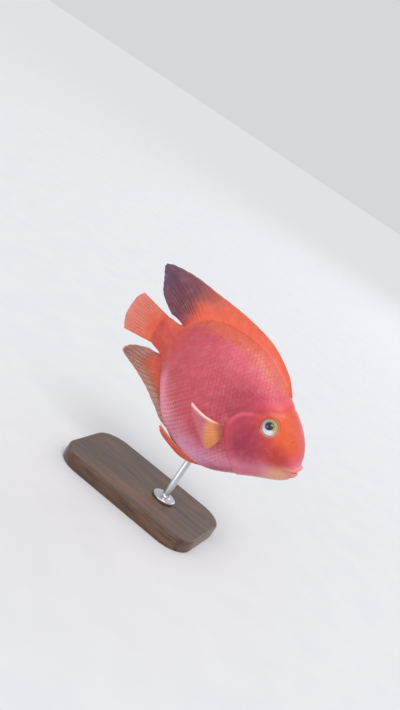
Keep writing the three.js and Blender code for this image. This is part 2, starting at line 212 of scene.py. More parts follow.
def on_flank(x, z):
    """Station and turn of the left flank's point at a place in the side view: a first guess
    from the middle line, then Newton's steps on x and z."""
    x, z = np.asarray(x, float), np.asarray(z, float)
    middle = mix(belly_line, back_line, thickest(fine)[:, None])
    s = np.interp(x, middle[:, 0], fine)
    turn = np.zeros_like(s)
    for _ in range(NEWTON_ROUNDS):
        here = body(s, turn)[..., ::2]
        by_s = (body(s + NEWTON_STEP, turn)[..., ::2] - here) / NEWTON_STEP
        by_turn = (body(s, turn + NEWTON_STEP)[..., ::2] - here) / NEWTON_STEP
        miss = np.stack([x, z], -1) - here
        area = by_s[..., 0] * by_turn[..., 1] - by_s[..., 1] * by_turn[..., 0]
        area = np.where(np.abs(area) < 1e-3, 1e-3, area)
        move_s = (miss[..., 0] * by_turn[..., 1] - miss[..., 1] * by_turn[..., 0]) / area
        move_turn = (by_s[..., 0] * miss[..., 1] - by_s[..., 1] * miss[..., 0]) / area
        s = np.clip(s + np.clip(move_s, -MOST_MOVE_S, MOST_MOVE_S), 0, LAST)
        turn = turn + np.clip(move_turn, -MOST_MOVE_TURN, MOST_MOVE_TURN)
        turn = np.clip(turn, -MOST_TURN, MOST_TURN)
    return s, turn


eye_station, eye_turn = on_flank(*EYE)
print("the eye sits at station", round(float(eye_station), 2), "and turn", round(float(eye_turn), 2))

# %% [markdown]
# ## Making a mesh from arrays
#
# A grid of points becomes a mesh by listing its quads. One helper turns millimetres of the fish
# into metres of the whole model, checks by the signed volume that a closed piece faces outwards,
# and hangs values such as colours on the points, where a material can read them.

# %% Meshes from arrays


def grid_faces(rows, columns, wrap=False):
    """Quads between neighbours of a grid stored row by row; wrap joins the last column to the first."""
    index = np.arange(rows * columns).reshape(rows, columns)
    if wrap:
        index = np.hstack([index, index[:, :1]])
    corners = [index[:-1, :-1], index[:-1, 1:], index[1:, 1:], index[1:, :-1]]
    return np.stack(corners, -1).reshape(-1, 4)


def signed_volume(points, faces):
    """Sum over the faces of a sixth of the triple product of their corners: positive when a
    closed mesh faces outwards."""
    a, b, c = points[faces[:, 0]], points[faces[:, 1]], points[faces[:, 2]]
    total = np.einsum("ij,ij->i", a, np.cross(b, c)).sum()
    if faces.shape[1] == 4:
        total += np.einsum("ij,ij->i", a, np.cross(c, points[faces[:, 3]])).sum()
    return total / 6


def new_piece(name, points, face_lists, slot, material, nodes=(), **fields):
    """A mesh object from points in metres and arrays of faces. Fields with three columns become
    colours on the points, and flat ones become numbers."""
    middle = points.mean(0)
    if sum(signed_volume(points - middle, faces) for faces in face_lists) < 0:
        face_lists = [faces[:, ::-1] for faces in face_lists]
    mesh = bpy.data.meshes.new(name)
    mesh.from_pydata(points.tolist(), [], [f for faces in face_lists for f in faces.tolist()])
    mesh.polygons.foreach_set("use_smooth", np.ones(len(mesh.polygons), bool))
    for field, values in fields.items():
        values = np.asarray(values, float)
        if values.ndim == 2:
            made = mesh.attributes.new(field, "FLOAT_COLOR", "POINT")
            made.data.foreach_set("color", np.hstack([values, np.ones((len(values), 1))]).ravel())
        else:
            made = mesh.attributes.new(field, "FLOAT", "POINT")
            made.data.foreach_set("value", values)
    mesh.materials.append(material)
    mesh.update()
    piece = bpy.data.objects.new(name, mesh)
    bpy.context.scene.collection.objects.link(piece)
    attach(piece, "root")
    if nodes:
        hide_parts(*nodes)
    triangles = sum(len(faces) * (faces.shape[1] - 2) for faces in face_lists)
    print(name, "has", triangles, "triangles")
    return piece


def to_model(points):
    """Millimetres in the fish's own frame to metres in the model's."""
    return (np.asarray(points, float) + [FISH_X, 0, FISH_Z]) * MM


print("quads in a grid of 3 by 3 points:", len(grid_faces(3, 3)))

# %% [markdown]
# ## The camera
#
# The fish swims level, and the photo was taken with the camera rolled by a third of a right
# angle, from a little above and ahead of its right flank. The camera's two picture directions
# are turned by the roll, and its place follows from one point of the fish that has to fall on
# one pixel of the picture.

# %% Camera
CAMERA_AZIMUTH = math.radians(15)
CAMERA_ELEVATION = math.radians(14)
CAMERA_ROLL = math.radians(33.5)
LENS_MM = 47
SENSOR_MM = 36
DISTANCE = 650 * MM
PICTURE = (400, 710)
FISH_PIXEL = (232, 375)

sine, cosine = math.sin(CAMERA_AZIMUTH), math.cos(CAMERA_AZIMUTH)
to_camera = Vector((sine * math.cos(CAMERA_ELEVATION), -cosine * math.cos(CAMERA_ELEVATION),
                    math.sin(CAMERA_ELEVATION)))
level = Vector((cosine, sine, 0))
upward = to_camera.cross(level)
picture_right = math.cos(CAMERA_ROLL) * level + math.sin(CAMERA_ROLL) * upward
picture_up = to_camera.cross(picture_right)
pixels = LENS_MM / SENSOR_MM * PICTURE[1]
ray = ((FISH_PIXEL[0] - PICTURE[0] / 2) / pixels * picture_right
       - (FISH_PIXEL[1] - PICTURE[1] / 2) / pixels * picture_up - to_camera)
fish_origin = Vector((FISH_X, 0, FISH_Z)) * MM
camera_data = bpy.data.cameras.new("photo_camera")
camera_data.lens = LENS_MM
camera_data.sensor_width = SENSOR_MM
camera_data.clip_start = 0.01
camera = bpy.data.objects.new("photo_camera", camera_data)
columns = Matrix((picture_right, picture_up, to_camera)).transposed()
camera.matrix_world = Matrix.Translation(fish_origin - ray * DISTANCE) @ columns.to_4x4()
bpy.context.scene.collection.objects.link(camera)
bpy.context.scene.camera = camera
print("camera at", [round(v, 3) for v in camera.location])

# %% [markdown]
# ## The fish's colours
#
# A blood parrot's colour is laid in soft fields that run into one another: an orange band along
# the back, coral flanks, a deep rose cheek that is partly painted shade, a mauve belly and a pink
# lower flank made brighter as painted light from below, an orange snout, a creamy chin, and a
# painted highlight along the forehead's edge.
# Each field is a soft oval or a soft band at a named place in the side view, laid over the ones
# before it like an airbrush. Skin and scales ask the same function, so their markings meet.
# First the colours themselves, named for where they lie.

# %% Colour values


def srgb(red, green, blue):
    """A colour read as screen values from 0 to 255, as the light values that shaders use."""
    c = np.array([red, green, blue]) / 255
    return np.where(c < 0.04045, c / 12.92, ((c + 0.055) / 1.055) ** 2.4)


CORAL = srgb(207, 80, 92)
NAPE_PINK = srgb(238, 98, 118)
BAND_ORANGE = srgb(224, 100, 74)
FRONT_ORANGE = srgb(236, 120, 104)
STEM_ORANGE = srgb(216, 78, 62)
GILL_ROSE = srgb(172, 56, 76)
# Deep rose of the cheek, its darkness partly painted shade.
CHEEK_ROSE = srgb(154, 46, 68)
CHEEK_PURPLE = srgb(150, 44, 82)
BROW_RED = srgb(190, 62, 58)
# Mauve of the belly and pink of the lower flank: their own colours, painted brighter as light from below.
BELLY_MAUVE_LIT_FROM_BELOW = srgb(252, 176, 208)
LOWER_PINK_LIT_FROM_BELOW = srgb(255, 152, 176)
THROAT_PINK = srgb(208, 94, 112)
FOREHEAD = srgb(214, 88, 72)
# Painted highlight colour for the rim of light along the forehead's edge.
FOREHEAD_RIM_HIGHLIGHT = srgb(226, 118, 128)
SNOUT_ORANGE = srgb(226, 96, 48)
SNOUT_RED = srgb(178, 50, 48)
CHIN_CREAM = srgb(222, 164, 124)
LIP_CREAM = srgb(224, 142, 122)
# Painted shade for the inside of the mouth, darkest towards the throat.
MOUTH_SHADE = srgb(88, 26, 30)
print("flank colour as light values:", CORAL.round(3).tolist())

# %% [markdown]
# The airbrush has three helpers: a colour laid on plain, a soft oval that says how strong a
# patch is at each place, and the laying of one colour over another by that strength.

# %% Airbrush


def plain(colour, places):
    """One colour at every place of an array."""
    return np.broadcast_to(colour, np.shape(places) + (3,))


def oval(x, z, centre, radii, tilt=0.0):
    """Soft oval: one at its centre and falling as the bell curve of the distance in radii."""
    c, s = math.cos(math.radians(tilt)), math.sin(math.radians(tilt))
    along = (x - centre[0]) * c + (z - centre[1]) * s
    across = (z - centre[1]) * c - (x - centre[0]) * s
    return np.exp(-((along / radii[0]) ** 2 + (across / radii[1]) ** 2) ** 1.3)


def lay(colours, over, share):
    """Airbrushes one colour over an array of colours by a share at each place."""
    return colours + (over - colours) * np.asarray(share)[..., None]


print("an oval's strength half a radius out:", oval(0.5, 0.0, (0, 0), (1, 1)).round(2))

# %% [markdown]
# Now the fish is painted from back to front. The wide fields go first, such as the mauve of the
# belly and the orange band, and the small ones of the head lie over them.

# %% Painting the fish


def paint(x, z):
    """The fish's colour at places in the side view, one soft field over the next."""
    below_back = np.interp(x, back_line[:, 0], back_line[:, 1]) - z
    above_belly = z - np.interp(x, belly_line[:, 0], belly_line[:, 1])
    c = lay(plain(CORAL, x), NAPE_PINK, 0.75 * ease(30, 8, below_back) * ease(-30, 5, x))
    c = lay(c, GILL_ROSE, 0.85 * oval(x, z, (25, -9), (19, 15)))
    # Painted light from below: the belly's mauve and the lower flank's pink are their own colours, brightened
    # to stand in for light falling from below.
    c = lay(c, BELLY_MAUVE_LIT_FROM_BELOW, 0.97 * ease(27, 4, above_belly) * ease(-22, 4, x) * (0.6 + 0.4 * ease(44, 14, x)))
    c = lay(c, LOWER_PINK_LIT_FROM_BELOW, 0.92 * ease(24, 5, above_belly) * ease(-4, -20, x) * ease(-46, -36, x))
    c = lay(c, STEM_ORANGE, 0.95 * ease(-36, -52, x))
    band = 9.5 - 6 * ease(20, 44, x) - 5 * ease(-22, -42, x)
    orange = mix(BAND_ORANGE, FRONT_ORANGE, ease(-8, 26, x)[..., None])
    c = lay(c, orange, 0.95 * ease(1.35, 0.45, below_back / band) * ease(50, 38, x))
    c = lay(c, BROW_RED, 0.85 * oval(x, z, (43, -6), (11, 8)))
    c = lay(c, FOREHEAD, 0.95 * ease(47, 53, x + 0.3 * z) * ease(-24, -8, z))
    c = lay(c, SNOUT_ORANGE, 0.9 * oval(x, z, (57, -12), (15, 11), -50))
    c = lay(c, SNOUT_ORANGE, 0.6 * oval(x, z, (50, 0), (7, 6)))
    # Deep rose cheek: partly its own colour, partly painted shade on the lower cheek, away from the light
    # above.
    c = lay(c, CHEEK_ROSE, 0.85 * oval(x, z, (41, -29), (17, 14), -12))
    c = lay(c, CHEEK_ROSE, 0.3 * oval(x, z, (36, -20), (9, 8)))
    c = lay(c, CHEEK_PURPLE, 0.6 * oval(x, z, (35, -30), (4.5, 8), -20))
    c = lay(c, CHEEK_PURPLE, 0.3 * oval(x, z, (38, -21), (1.6, 4.5), -30))
    c = lay(c, SNOUT_RED, 0.9 * oval(x, z, (63, -25), (14, 8), -25))
    # Painted highlight: a pale rose rim of light along the forehead's edge, just under its outline.
    c = lay(c, FOREHEAD_RIM_HIGHLIGHT, 0.4 * ease(7, 0, below_back) * ease(50, 62, x) * ease(-24, -13, z))
    c = lay(c, THROAT_PINK, 0.75 * ease(13, 4, above_belly) * ease(14, 30, x) * ease(66, 54, x))
    c = lay(c, CHIN_CREAM, 0.95 * oval(x, z, (68.5, -35.5), (11, 6.5), 32))
    return c


print("colour at mid flank:", paint(np.array([0.0]), np.array([-20.0])).round(3).tolist())

# %% [markdown]
# ## Building materials
#
# A material is a small network of nodes. Three helpers start it: one makes a node and wires its
# inputs, one makes a material with its shader, and one makes a group. Values that are the same
# all over a surface are set on the shader itself.

# %% Node helpers


def add(tree, kind, inputs=None, **settings):
    """One node. Settings are its own properties, and inputs maps each socket, by its name or
    number, to a value or to the output of another node."""
    made = tree.nodes.new("ShaderNode" + kind)
    for key, value in settings.items():
        setattr(made, key, value)
    for key, value in (inputs or {}).items():
        if isinstance(value, bpy.types.NodeSocket):
            tree.links.new(value, made.inputs[key])
        else:
            made.inputs[key].default_value = value
    return made


def new_material(name, **constants):
    """A material with its Principled shader, and that shader's constant values."""
    material = bpy.data.materials.new(name)
    material.use_nodes = True
    tree = material.node_tree
    tree.nodes.clear()
    shader = add(tree, "BsdfPrincipled")
    output = add(tree, "OutputMaterial")
    tree.links.new(shader.outputs["BSDF"], output.inputs["Surface"])
    for key, value in constants.items():
        shader.inputs[key.replace("_", " ")].default_value = value
    return material, tree, shader


def new_group(name, inputs, outputs):
    """A shader node group with named sockets, each of them a colour, vector or number."""
    kinds = {"colour": "NodeSocketColor", "vector": "NodeSocketVector", "number": "NodeSocketFloat"}
    group = bpy.data.node_groups.new(name, "ShaderNodeTree")
    for direction, sockets in (("INPUT", inputs), ("OUTPUT", outputs)):
        for label, kind in sockets.items():
            group.interface.new_socket(label, in_out=direction, socket_type=kinds[kind])
    entry = group.nodes.new("NodeGroupInput")
    leave = group.nodes.new("NodeGroupOutput")
    return group, entry.outputs, leave.inputs


print("materials that came with the solids:", len(bpy.data.materials))

# %% [markdown]
# The short helpers give the mixes, sums, noises and bumps that come up all the time. Most of
# them make one node and give its output, so a material reads like a formula.

# %% Short helpers


def colour_mix(tree, share, low, high, blend="MIX"):
    """Mixes two colours, and gives the output socket. A Mix node has sockets for numbers,
    vectors and colours, and the colour ones are its inputs 6 and 7 and its output 2."""
    return add(tree, "Mix", {0: share, 6: low, 7: high}, data_type="RGBA", blend_type=blend).outputs[2]


def number(tree, operation, *values):
    """One sum on numbers, and gives the output socket."""
    return add(tree, "Math", dict(enumerate(values)), operation=operation).outputs[0]


def noise(tree, vector, scale, **inputs):
    """A noise texture's value at each place. Words in the inputs' names are joined by _."""
    named = {key.replace("_", " "): value for key, value in inputs.items()}
    return add(tree, "TexNoise", {"Vector": vector, "Scale": scale, **named}).outputs["Fac"]


def spread(tree, value, low, high, source=(0.0, 1.0)):
    """Moves a value from the source's range to the range from low to high."""
    return add(tree, "MapRange", {
        "Value": value, "From Min": source[0], "From Max": source[1], "To Min": low, "To Max": high,
    }).outputs["Result"]


def on_object(tree):
    """The place on the piece, in its own metres."""
    return add(tree, "TexCoord").outputs["Object"]


def streaked(tree, scale, rotation=(0.0, 0.0, 0.0)):
    """The place on the piece times a factor along each axis: a texture comes out long where the
    factor is small."""
    place = on_object(tree)
    made = add(tree, "Mapping", {"Vector": place, "Scale": scale, "Rotation": rotation})
    return made.outputs["Vector"]


def add_bump(tree, shader, height, strength, distance):
    """Tilts the light on a surface as if a height of 1 stood this many metres proud of it."""
    made = add(tree, "Bump", {"Strength": strength, "Distance": distance, "Height": height})
    tree.links.new(made.outputs["Normal"], shader.inputs["Normal"])


def painted(tree, field):
    """A value that was hung on the points under this name: its colour and its number."""
    made = add(tree, "Attribute", attribute_name=field)
    return made.outputs["Color"], made.outputs["Fac"]


print("node groups so far:", len(bpy.data.node_groups))

# %% [markdown]
# ## Living skin as a node group
#
# Skin, scales and fins all have the same liveliness: cloudy patches of stronger and weaker
# pigment a few millimetres across, and tiny dark and light grains of it. The group takes the
# painted colour and gives it back mottled, with a grain height that a Bump node can read.

# %% Pigment group
pigment, given, gives = new_group(
    "pigment", {"Colour": "colour", "Cloud": "number", "Grain": "number"},
    {"Colour": "colour", "Height": "number"})
MIDDLE_PART = (0.3, 0.7)
CLOUDS_PER_METRE = 190.0
GRAINS_PER_METRE = 1900.0
place = on_object(pigment)
cloudy = noise(pigment, place, CLOUDS_PER_METRE, Detail=4.0, Roughness=0.6)
clouds = spread(pigment, cloudy, -1.0, 1.0, MIDDLE_PART)
grains = noise(pigment, place, GRAINS_PER_METRE, Detail=2.0)
grainy = spread(pigment, grains, -1.0, 1.0, MIDDLE_PART)
deeper = colour_mix(pigment, 1.0, given["Colour"], (0.78, 0.6, 0.62, 1), "MULTIPLY")
paler = colour_mix(pigment, 0.22, given["Colour"], (1.0, 0.72, 0.66, 1))
weaker = number(pigment, "MULTIPLY", number(pigment, "MAXIMUM", clouds, 0.0), given["Cloud"])
holes = number(pigment, "MAXIMUM", number(pigment, "MULTIPLY", clouds, -1.0), 0.0)
stronger = number(pigment, "MULTIPLY", holes, given["Cloud"])
mottled = colour_mix(pigment, stronger, colour_mix(pigment, weaker, given["Colour"], paler), deeper)
specks = number(pigment, "MULTIPLY", number(pigment, "MAXIMUM", grainy, 0.0), given["Grain"])
pigment.links.new(colour_mix(pigment, specks, mottled, deeper), gives["Colour"])
pigment.links.new(grains, gives["Height"])
print("nodes in the pigment group:", len(pigment.nodes))

# %% [markdown]
# Skin, scales and fins start from the same shader: moist, with a thin coat of slime, a little
# light travelling under the surface, and the group's grains as a fine bump.

# %% Flesh shader
GRAIN_HEIGHT = 0.0004


def flesh_shader(name, cloud, grain, bump, **constants):
    """A moist skin material that reads the painted colour on the points and mottles it. Gives
    the material, its network and shader, and the output of the mottled colour."""
    material, tree, shader = new_material(
        name, IOR=1.38, Specular_IOR_Level=0.35, Coat_Roughness=0.2, Subsurface_Scale=0.004,
        Subsurface_Radius=(1.0, 0.42, 0.3), **constants)
    living = add(tree, "Group", node_tree=pigment)
    tree.links.new(painted(tree, "tone")[0], living.inputs["Colour"])
    living.inputs["Cloud"].default_value = cloud
    living.inputs["Grain"].default_value = grain
    add_bump(tree, shader, living.outputs["Height"], bump, GRAIN_HEIGHT)
    return material, tree, shader, living.outputs["Colour"]


print("a pigment grain stands", GRAIN_HEIGHT / MM, "mm proud at most")

# %% [markdown]
# ## Relief of the head
#
# The head is smooth but not plain: the gill cover ends in a free edge with a slit behind it, an
# inner arch runs parallel to it, the eye sits in a low ring, a crease parts the nape from the
# forehead, and each side has a nostril. All of these are heights over the plain body, given as
# formulas of the place in the side view, and added along the way the skin faces.

# %% Relief
gill_line = smooth(GILL_EDGE)(np.linspace(0, len(GILL_EDGE) - 1, 121))
NAPE_CREASE = [[51.5, 8.5], [49, 4.5], [46.5, 1.6], [43, 0]]
ARCH_LINE = [[40, -17], [34.5, -20.5], [31.5, -28], [32.5, -38], [38, -46], [47, -50]]
NOSTRIL = [63.6, -9.8]
COVER_HEIGHT, SLIT_DEPTH = 0.75, 0.45
ARCH_DEPTH, CREASE_DEPTH = 0.3, 0.4
EYE_RING_HEIGHT, SOCKET_DEPTH = 0.3, 2.8
NOSTRIL_RIM, NOSTRIL_DEPTH = 0.3, 0.9


def behind_gill(x, z):
    """Distance from the gill cover's edge in the side view, positive behind it: the nearest of
    the edge's points, with its sign from the edge's x at that height."""
    x, z = np.asarray(x, float), np.asarray(z, float)
    away = np.min(np.hypot(x[..., None] - gill_line[:, 0], z[..., None] - gill_line[:, 1]), -1)
    edge_x = np.interp(z, gill_line[::-1, 1], gill_line[::-1, 0])
    return np.where(x < edge_x, away, -away)


def from_line(x, z, points):
    """Distance in the side view from a smooth curve through a few points."""
    line = smooth(points)(np.linspace(0, len(points) - 1, 61))
    return np.min(np.hypot(x[..., None] - line[:, 0], z[..., None] - line[:, 1]), -1)


def gill_opening(z):
    """One along the free part of the gill cover's edge, and none above and below it."""
    return ease(0, -9, z) * ease(-67, -60, z)


def relief(x, z):
    """Height over the plain body: bell-shaped ridges and grooves along the lines above. Behind
    the gill cover the skin lies lower by the depth in which the scales are rooted."""
    behind = behind_gill(x, z)
    inside = np.minimum(behind, 0)
    cover = np.where(behind < 0, COVER_HEIGHT * (1 - np.exp(inside / 0.9)) * np.exp(inside / 12), 0)
    height = gill_opening(z) * (cover - SLIT_DEPTH * bell(behind - 0.7, 0.9))
    height -= ARCH_DEPTH * bell(from_line(x, z, ARCH_LINE), 1.1)
    height -= CREASE_DEPTH * bell(from_line(x, z, NAPE_CREASE), 1.5)
    from_eye = np.hypot(x - EYE[0], z - EYE[1])
    height += EYE_RING_HEIGHT * bell(from_eye - 7.6, 1.4) - SOCKET_DEPTH * ease(6.9, 5.2, from_eye)
    from_nostril = np.hypot(x - NOSTRIL[0], z - NOSTRIL[1])
    height += NOSTRIL_RIM * bell(from_nostril - 1.4, 0.5) - NOSTRIL_DEPTH * bell(from_nostril, 0.75)
    return height - SCALE_DEPTH * ease(0, 2, behind)


print("relief just inside the gill cover's edge:", relief(np.array([25.0]), np.array([-30.0])).round(2), "mm")

# %% [markdown]
# ## One skin from tail to throat
#
# On the trunk the rings of the mesh follow the stations. On the face they turn so that the last
# ring is the mouth's own outline, which is how faces are modelled by hand as well. So the line
# of the mouth comes first: from the chin's middle back to the corner and forward again to the
# upper lip's middle, as stations and turns of the body's surface. Both flanks share one half.

# %% Mouth line
AROUND = 352
CORNER = (68.4, -27.6)
UPPER_SEAM = [(71.5, -26.3), (74.2, -24.4)]
LOWER_SEAM = [(71.2, -28.8), (74.0, -30.4)]
CHIN_MIDDLE = [LAST - 0.15, -math.pi / 2]
LIP_MIDDLE = [LAST, math.pi / 2]

around = -math.pi / 2 + 2 * math.pi * (np.arange(AROUND) + 0.5) / AROUND
folded = np.arcsin(np.sin(around))
flank = np.sign(np.cos(around))
seam_places = np.array([*LOWER_SEAM[::-1], CORNER, *UPPER_SEAM])
seam_points = [CHIN_MIDDLE, *np.stack(on_flank(seam_places[:, 0], seam_places[:, 1]), -1), LIP_MIDDLE]
seam_share = (folded + math.pi / 2) / math.pi
mouth_s, mouth_turn = smooth(seam_points)(seam_share * (len(seam_points) - 1)).T
print("the mouth's corner is at station", seam_points[3][0].round(2))

# %% [markdown]
# The rings go from the tail to the face at even stations, and then slide over to the mouth's
# line. The relief is added along the way the skin faces, and a soft furrow follows the lips.

# %% Skin rings
FACE_FROM = 9.2
TRUNK_RINGS, FACE_RINGS = 104, 96
FURROW_DEPTH = 0.3

trunk_s = np.linspace(0, FACE_FROM, TRUNK_RINGS)[:, None] + 0 * folded
trunk_turn = 0 * trunk_s + folded
share = np.linspace(0, 1, FACE_RINGS + 1)[1:, None]
stations = np.vstack([trunk_s, mix(FACE_FROM, mouth_s, share)])
turns = np.vstack([trunk_turn, mix(folded, mouth_turn, share)])
base = body(stations, turns)
outward = facing(stations, turns)
steps = np.linalg.norm(np.diff(base, axis=0), axis=-1)
to_seam = np.vstack([np.cumsum(steps[::-1], 0)[::-1], np.zeros((1, AROUND))])
skin_height = relief(base[..., 0], base[..., 2])
skin_height -= FURROW_DEPTH * bell(to_seam - 3.0, 1.0) * ease(0.0, 0.4, np.abs(folded))
outer = base + outward * skin_height[..., None]
print("rings from tail to mouth:", len(outer))

# %% [markdown]
# From the mouth's line the skin rolls over the lips in half circles, and each lip reaches so far
# towards the one opposite that only a narrow slit is left, widest in the middle. From there it
# goes on as the inside of the mouth, narrowing to the throat, so the open mouth is a real hollow.

# %% Lips and mouth
LIP_RINGS, MOUTH_RINGS = 12, 14
LIP_RADIUS = 1.8
THINNEST_LIP = 0.12
UPPER_PROUD, LOWER_PROUD = 1.1, 0.9
SLIT = 1.1
SLIT_MIDDLE = 0.9
LIPS_PRESS = 0.25
THROAT = (65.5, 0.0, -27.6)
THROAT_SIZE = [0.06, 0.12, 0.18]


def steady(directions, reach=7):
    """Directions round the whole mouth with the small bumps averaged out: each is the mean of
    its neighbours on the full ring, where the right half's sideways part points the other way."""
    mirror = np.stack([np.ones(AROUND), flank, np.ones(AROUND)], -1)
    full = directions * mirror
    return unit(sum(np.roll(full, k, 0) for k in range(-reach, reach + 1)) * mirror)


edge = outer[-1]
other_flank = flank[:, None] != flank
opposite = np.argmin(np.abs(folded[:, None] + folded) + 9.0 * other_flank, 0)
across_mouth = edge[opposite] - edge
gap = np.linalg.norm(across_mouth, axis=-1)
onward = unit(edge - outer[-3])
inward = steady(unit(onward * 0.35 + unit(across_mouth) * ease(0.1, 1.2, gap)[:, None]))
lip_out = steady(outward[-1])
lip_out = unit(lip_out - inward * np.sum(lip_out * inward, -1, keepdims=True))
sideways = edge[:, 1]
open_by = SLIT * ease(5.5, 1.0, sideways) + SLIT_MIDDLE * bell(sideways, 1.3) - LIPS_PRESS
roll = np.clip((gap - open_by) / 4, THINNEST_LIP, LIP_RADIUS)[:, None]
swing = np.radians(np.linspace(15, 180, LIP_RINGS))[:, None, None]
proud = np.where(folded > 0, UPPER_PROUD, LOWER_PROUD)[:, None]
lips = edge + inward * roll * (1 - np.cos(swing)) + lip_out * roll * proud * np.sin(swing)

deeper_in = np.linspace(0, 1, MOUTH_RINGS + 1)[1:, None, None]
throat = np.array(THROAT) + (lips[-1] - THROAT) * THROAT_SIZE
hollow = mix(lips[-1], throat, deeper_in ** 1.2)
half_skin = np.concatenate([outer, lips, hollow])
rows = len(half_skin)
print("skin grid:", rows, "by", AROUND)

# %% [markdown]
# The skin's colour is the painted one, with pale lips, painted shade darkening the inside of the
# mouth, a painted shadow line in the slit of the gill cover and a light rim on the cover's edge,
# as the photo shows them.

# %% Skin colours
x, z = half_skin[..., 0], half_skin[..., 2]
ring_index = np.arange(rows)[:, None]
lip_first = TRUNK_RINGS + FACE_RINGS
lip_last = lip_first + LIP_RINGS
lip_share = np.where(ring_index < lip_last, 1.0, 0.3) + np.zeros(AROUND)
lip_share[:lip_first] = ease(1.8, 0.2, to_seam)
behind = behind_gill(x, z)
arch_light = ease(-26, -18, z) * ease(36, 28, x)
skin_tone = lay(paint(x, z), LIP_CREAM, 0.42 * lip_share)
# Painted shade: the colour darkens from the lips' inner half into the mouth's hollow.
skin_tone = lay(skin_tone, MOUTH_SHADE, ease(lip_last - 0.28 * LIP_RINGS, lip_last + 3, ring_index) + 0 * x)
skin_tone = lay(skin_tone, NAPE_PINK, (0.12 + 0.4 * arch_light) * gill_opening(z) * bell(behind + 1.4, 1.3))
skin_tone = lay(skin_tone, CHEEK_ROSE * 0.6, 0.55 * gill_opening(z) * bell(behind - 0.9, 0.8))
print("a lip's colour:", skin_tone[lip_first, 0].round(3).tolist())

# %% [markdown]
# The skin's gloss changes a little from place to place, as slime does. The rings become the
# piece: the right half is mirrored, the tail's bow is put back, and both ends are closed by fans.

# %% Skin piece
skin_material, tree, shader, colour = flesh_shader(
    "moist_skin", 0.22, 0.25, 0.25, Coat_Weight=0.2, Subsurface_Weight=0.18)
tree.links.new(colour, shader.inputs["Base Color"])
tree.links.new(spread(tree, noise(tree, on_object(tree), 260.0), 0.3, 0.48), shader.inputs["Roughness"])

skin_points = half_skin.copy()
bow = sway(half_skin[..., 0])
skin_points[..., 1] = (half_skin[..., 1] - bow) * flank + bow
all_points = np.vstack([skin_points.reshape(-1, 3), skin_points[0].mean(0), skin_points[-1].mean(0)])
# The throat's middle point takes the mouth's painted shade.
tone = np.vstack([skin_tone.reshape(-1, 3), skin_tone[0].mean(0), MOUTH_SHADE])
ring = np.arange(AROUND)
following = np.roll(ring, -1)
tail_end = rows * AROUND
last_ring = (rows - 1) * AROUND
tail_fan = np.stack([following, ring, 0 * ring + tail_end], -1)
throat_fan = np.stack([last_ring + ring, last_ring + following, 0 * ring + tail_end + 1], -1)
new_piece("skin", to_model(all_points), [grid_faces(rows, AROUND, wrap=True), tail_fan, throat_fan],
          "face_skin", skin_material, ["head", "lower_jaw", "trunk", "tail_stem"], tone=tone)

# %% [markdown]
# ## Scales
#
# Scales lie in staggered rows, each a thin oval plate whose front is sunk in the skin and whose
# rear edge stands a quarter of a millimetre proud, over the front of the next one. Rows keep
# their distance along the skin from the middle line, and get finer towards the tail. A table of
# the lengths round the body, station by station, says at which turn each row lies.

# %% Rows of scales
ROW_HEIGHT = 2.75
FINER = 0.42
STAGGER = 1.15
SCALE_FROM = 0.35
SCALE_TO = 10.8
MOST_ROWS = 40

table_s = np.linspace(SCALE_FROM, SCALE_TO, 140)
table_turn = np.linspace(-math.pi / 2, math.pi / 2, 161)
middle_column = len(table_turn) // 2
table = body(table_s[:, None] + 0 * table_turn, table_turn + 0 * table_s[:, None])
arcs = np.cumsum(np.linalg.norm(np.diff(table, axis=1), axis=-1), 1)
arcs = np.hstack([np.zeros((len(table_s), 1)), arcs])
arcs -= arcs[:, [middle_column]]
girth = arcs[:, -1] - arcs[:, 0]
row_height = ROW_HEIGHT * (girth / girth.max()) ** FINER
middle_step = np.linalg.norm(np.diff(table[:, middle_column], axis=0), axis=-1)
spacing = STAGGER * (row_height[1:] + row_height[:-1]) / 2
column_number = np.concatenate([[0], np.cumsum(middle_step / spacing)])
columns_count = int(column_number[-1] * 2)
print("columns of scales:", columns_count // 2)


def scale_seats():
    """Station, turn and row height of each scale: half columns apart along the body, with odd
    rows on the odd half columns, at whole numbers of row heights from the middle line."""
    half_column = np.arange(columns_count)
    s = np.interp(half_column / 2, column_number, table_s)
    height = np.interp(s, table_s, row_height)
    found = []
    for k, (station, tall) in enumerate(zip(s, height)):
        nearest = np.argmin(np.abs(table_s - station))
        rows_here = np.arange(-MOST_ROWS, MOST_ROWS + 1)
        reach = rows_here[(rows_here % 2) == (k % 2)] * tall
        inside = (reach > arcs[nearest, 0] + 0.5 * tall) & (reach < arcs[nearest, -1] - 0.3 * tall)
        turn = np.interp(reach[inside], arcs[nearest], table_turn)
        found.append(np.stack([0 * turn + station, turn, 0 * turn + tall], -1))
    return np.vstack(found)


# %% [markdown]
# The coat starts at the gill cover, and a little farther back on the nape, which is bare. There
# the scales get smaller and lie flatter row by row until they vanish into the skin, so that no
# line shows where they begin.

# %% Where the coat begins
rng = np.random.default_rng(7)
UNDER_COVER = 0.7
RAGGED = 1.2
BARE_NAPE = 4.5
FRONT_SIZE = 0.6


def past_front(places):
    """Distance behind the coat's front edge, which is at the gill cover's edge but lies farther
    back on the nape, above the cover."""
    x, z = places[:, 0], places[:, 2]
    return behind_gill(x, z) + UNDER_COVER - BARE_NAPE * ease(-13, -4, z)


def on_nape(places):
    """One above the gill cover, none on the flank behind it."""
    return ease(-20, -8, places[:, 2])


seats = scale_seats()
seats = seats[past_front(body(seats[:, 0], seats[:, 1])) > RAGGED * rng.random(len(seats))]
centres = body(seats[:, 0], seats[:, 1])
front_row = (ease(12, 1, past_front(centres)) * on_nape(centres))[:, None]
near_head = ease(28, 8, behind_gill(centres[:, 0], centres[:, 2])) * on_nape(centres)
calm = (1 - 0.85 * near_head)[:, None]
print("scales on each flank:", len(seats))

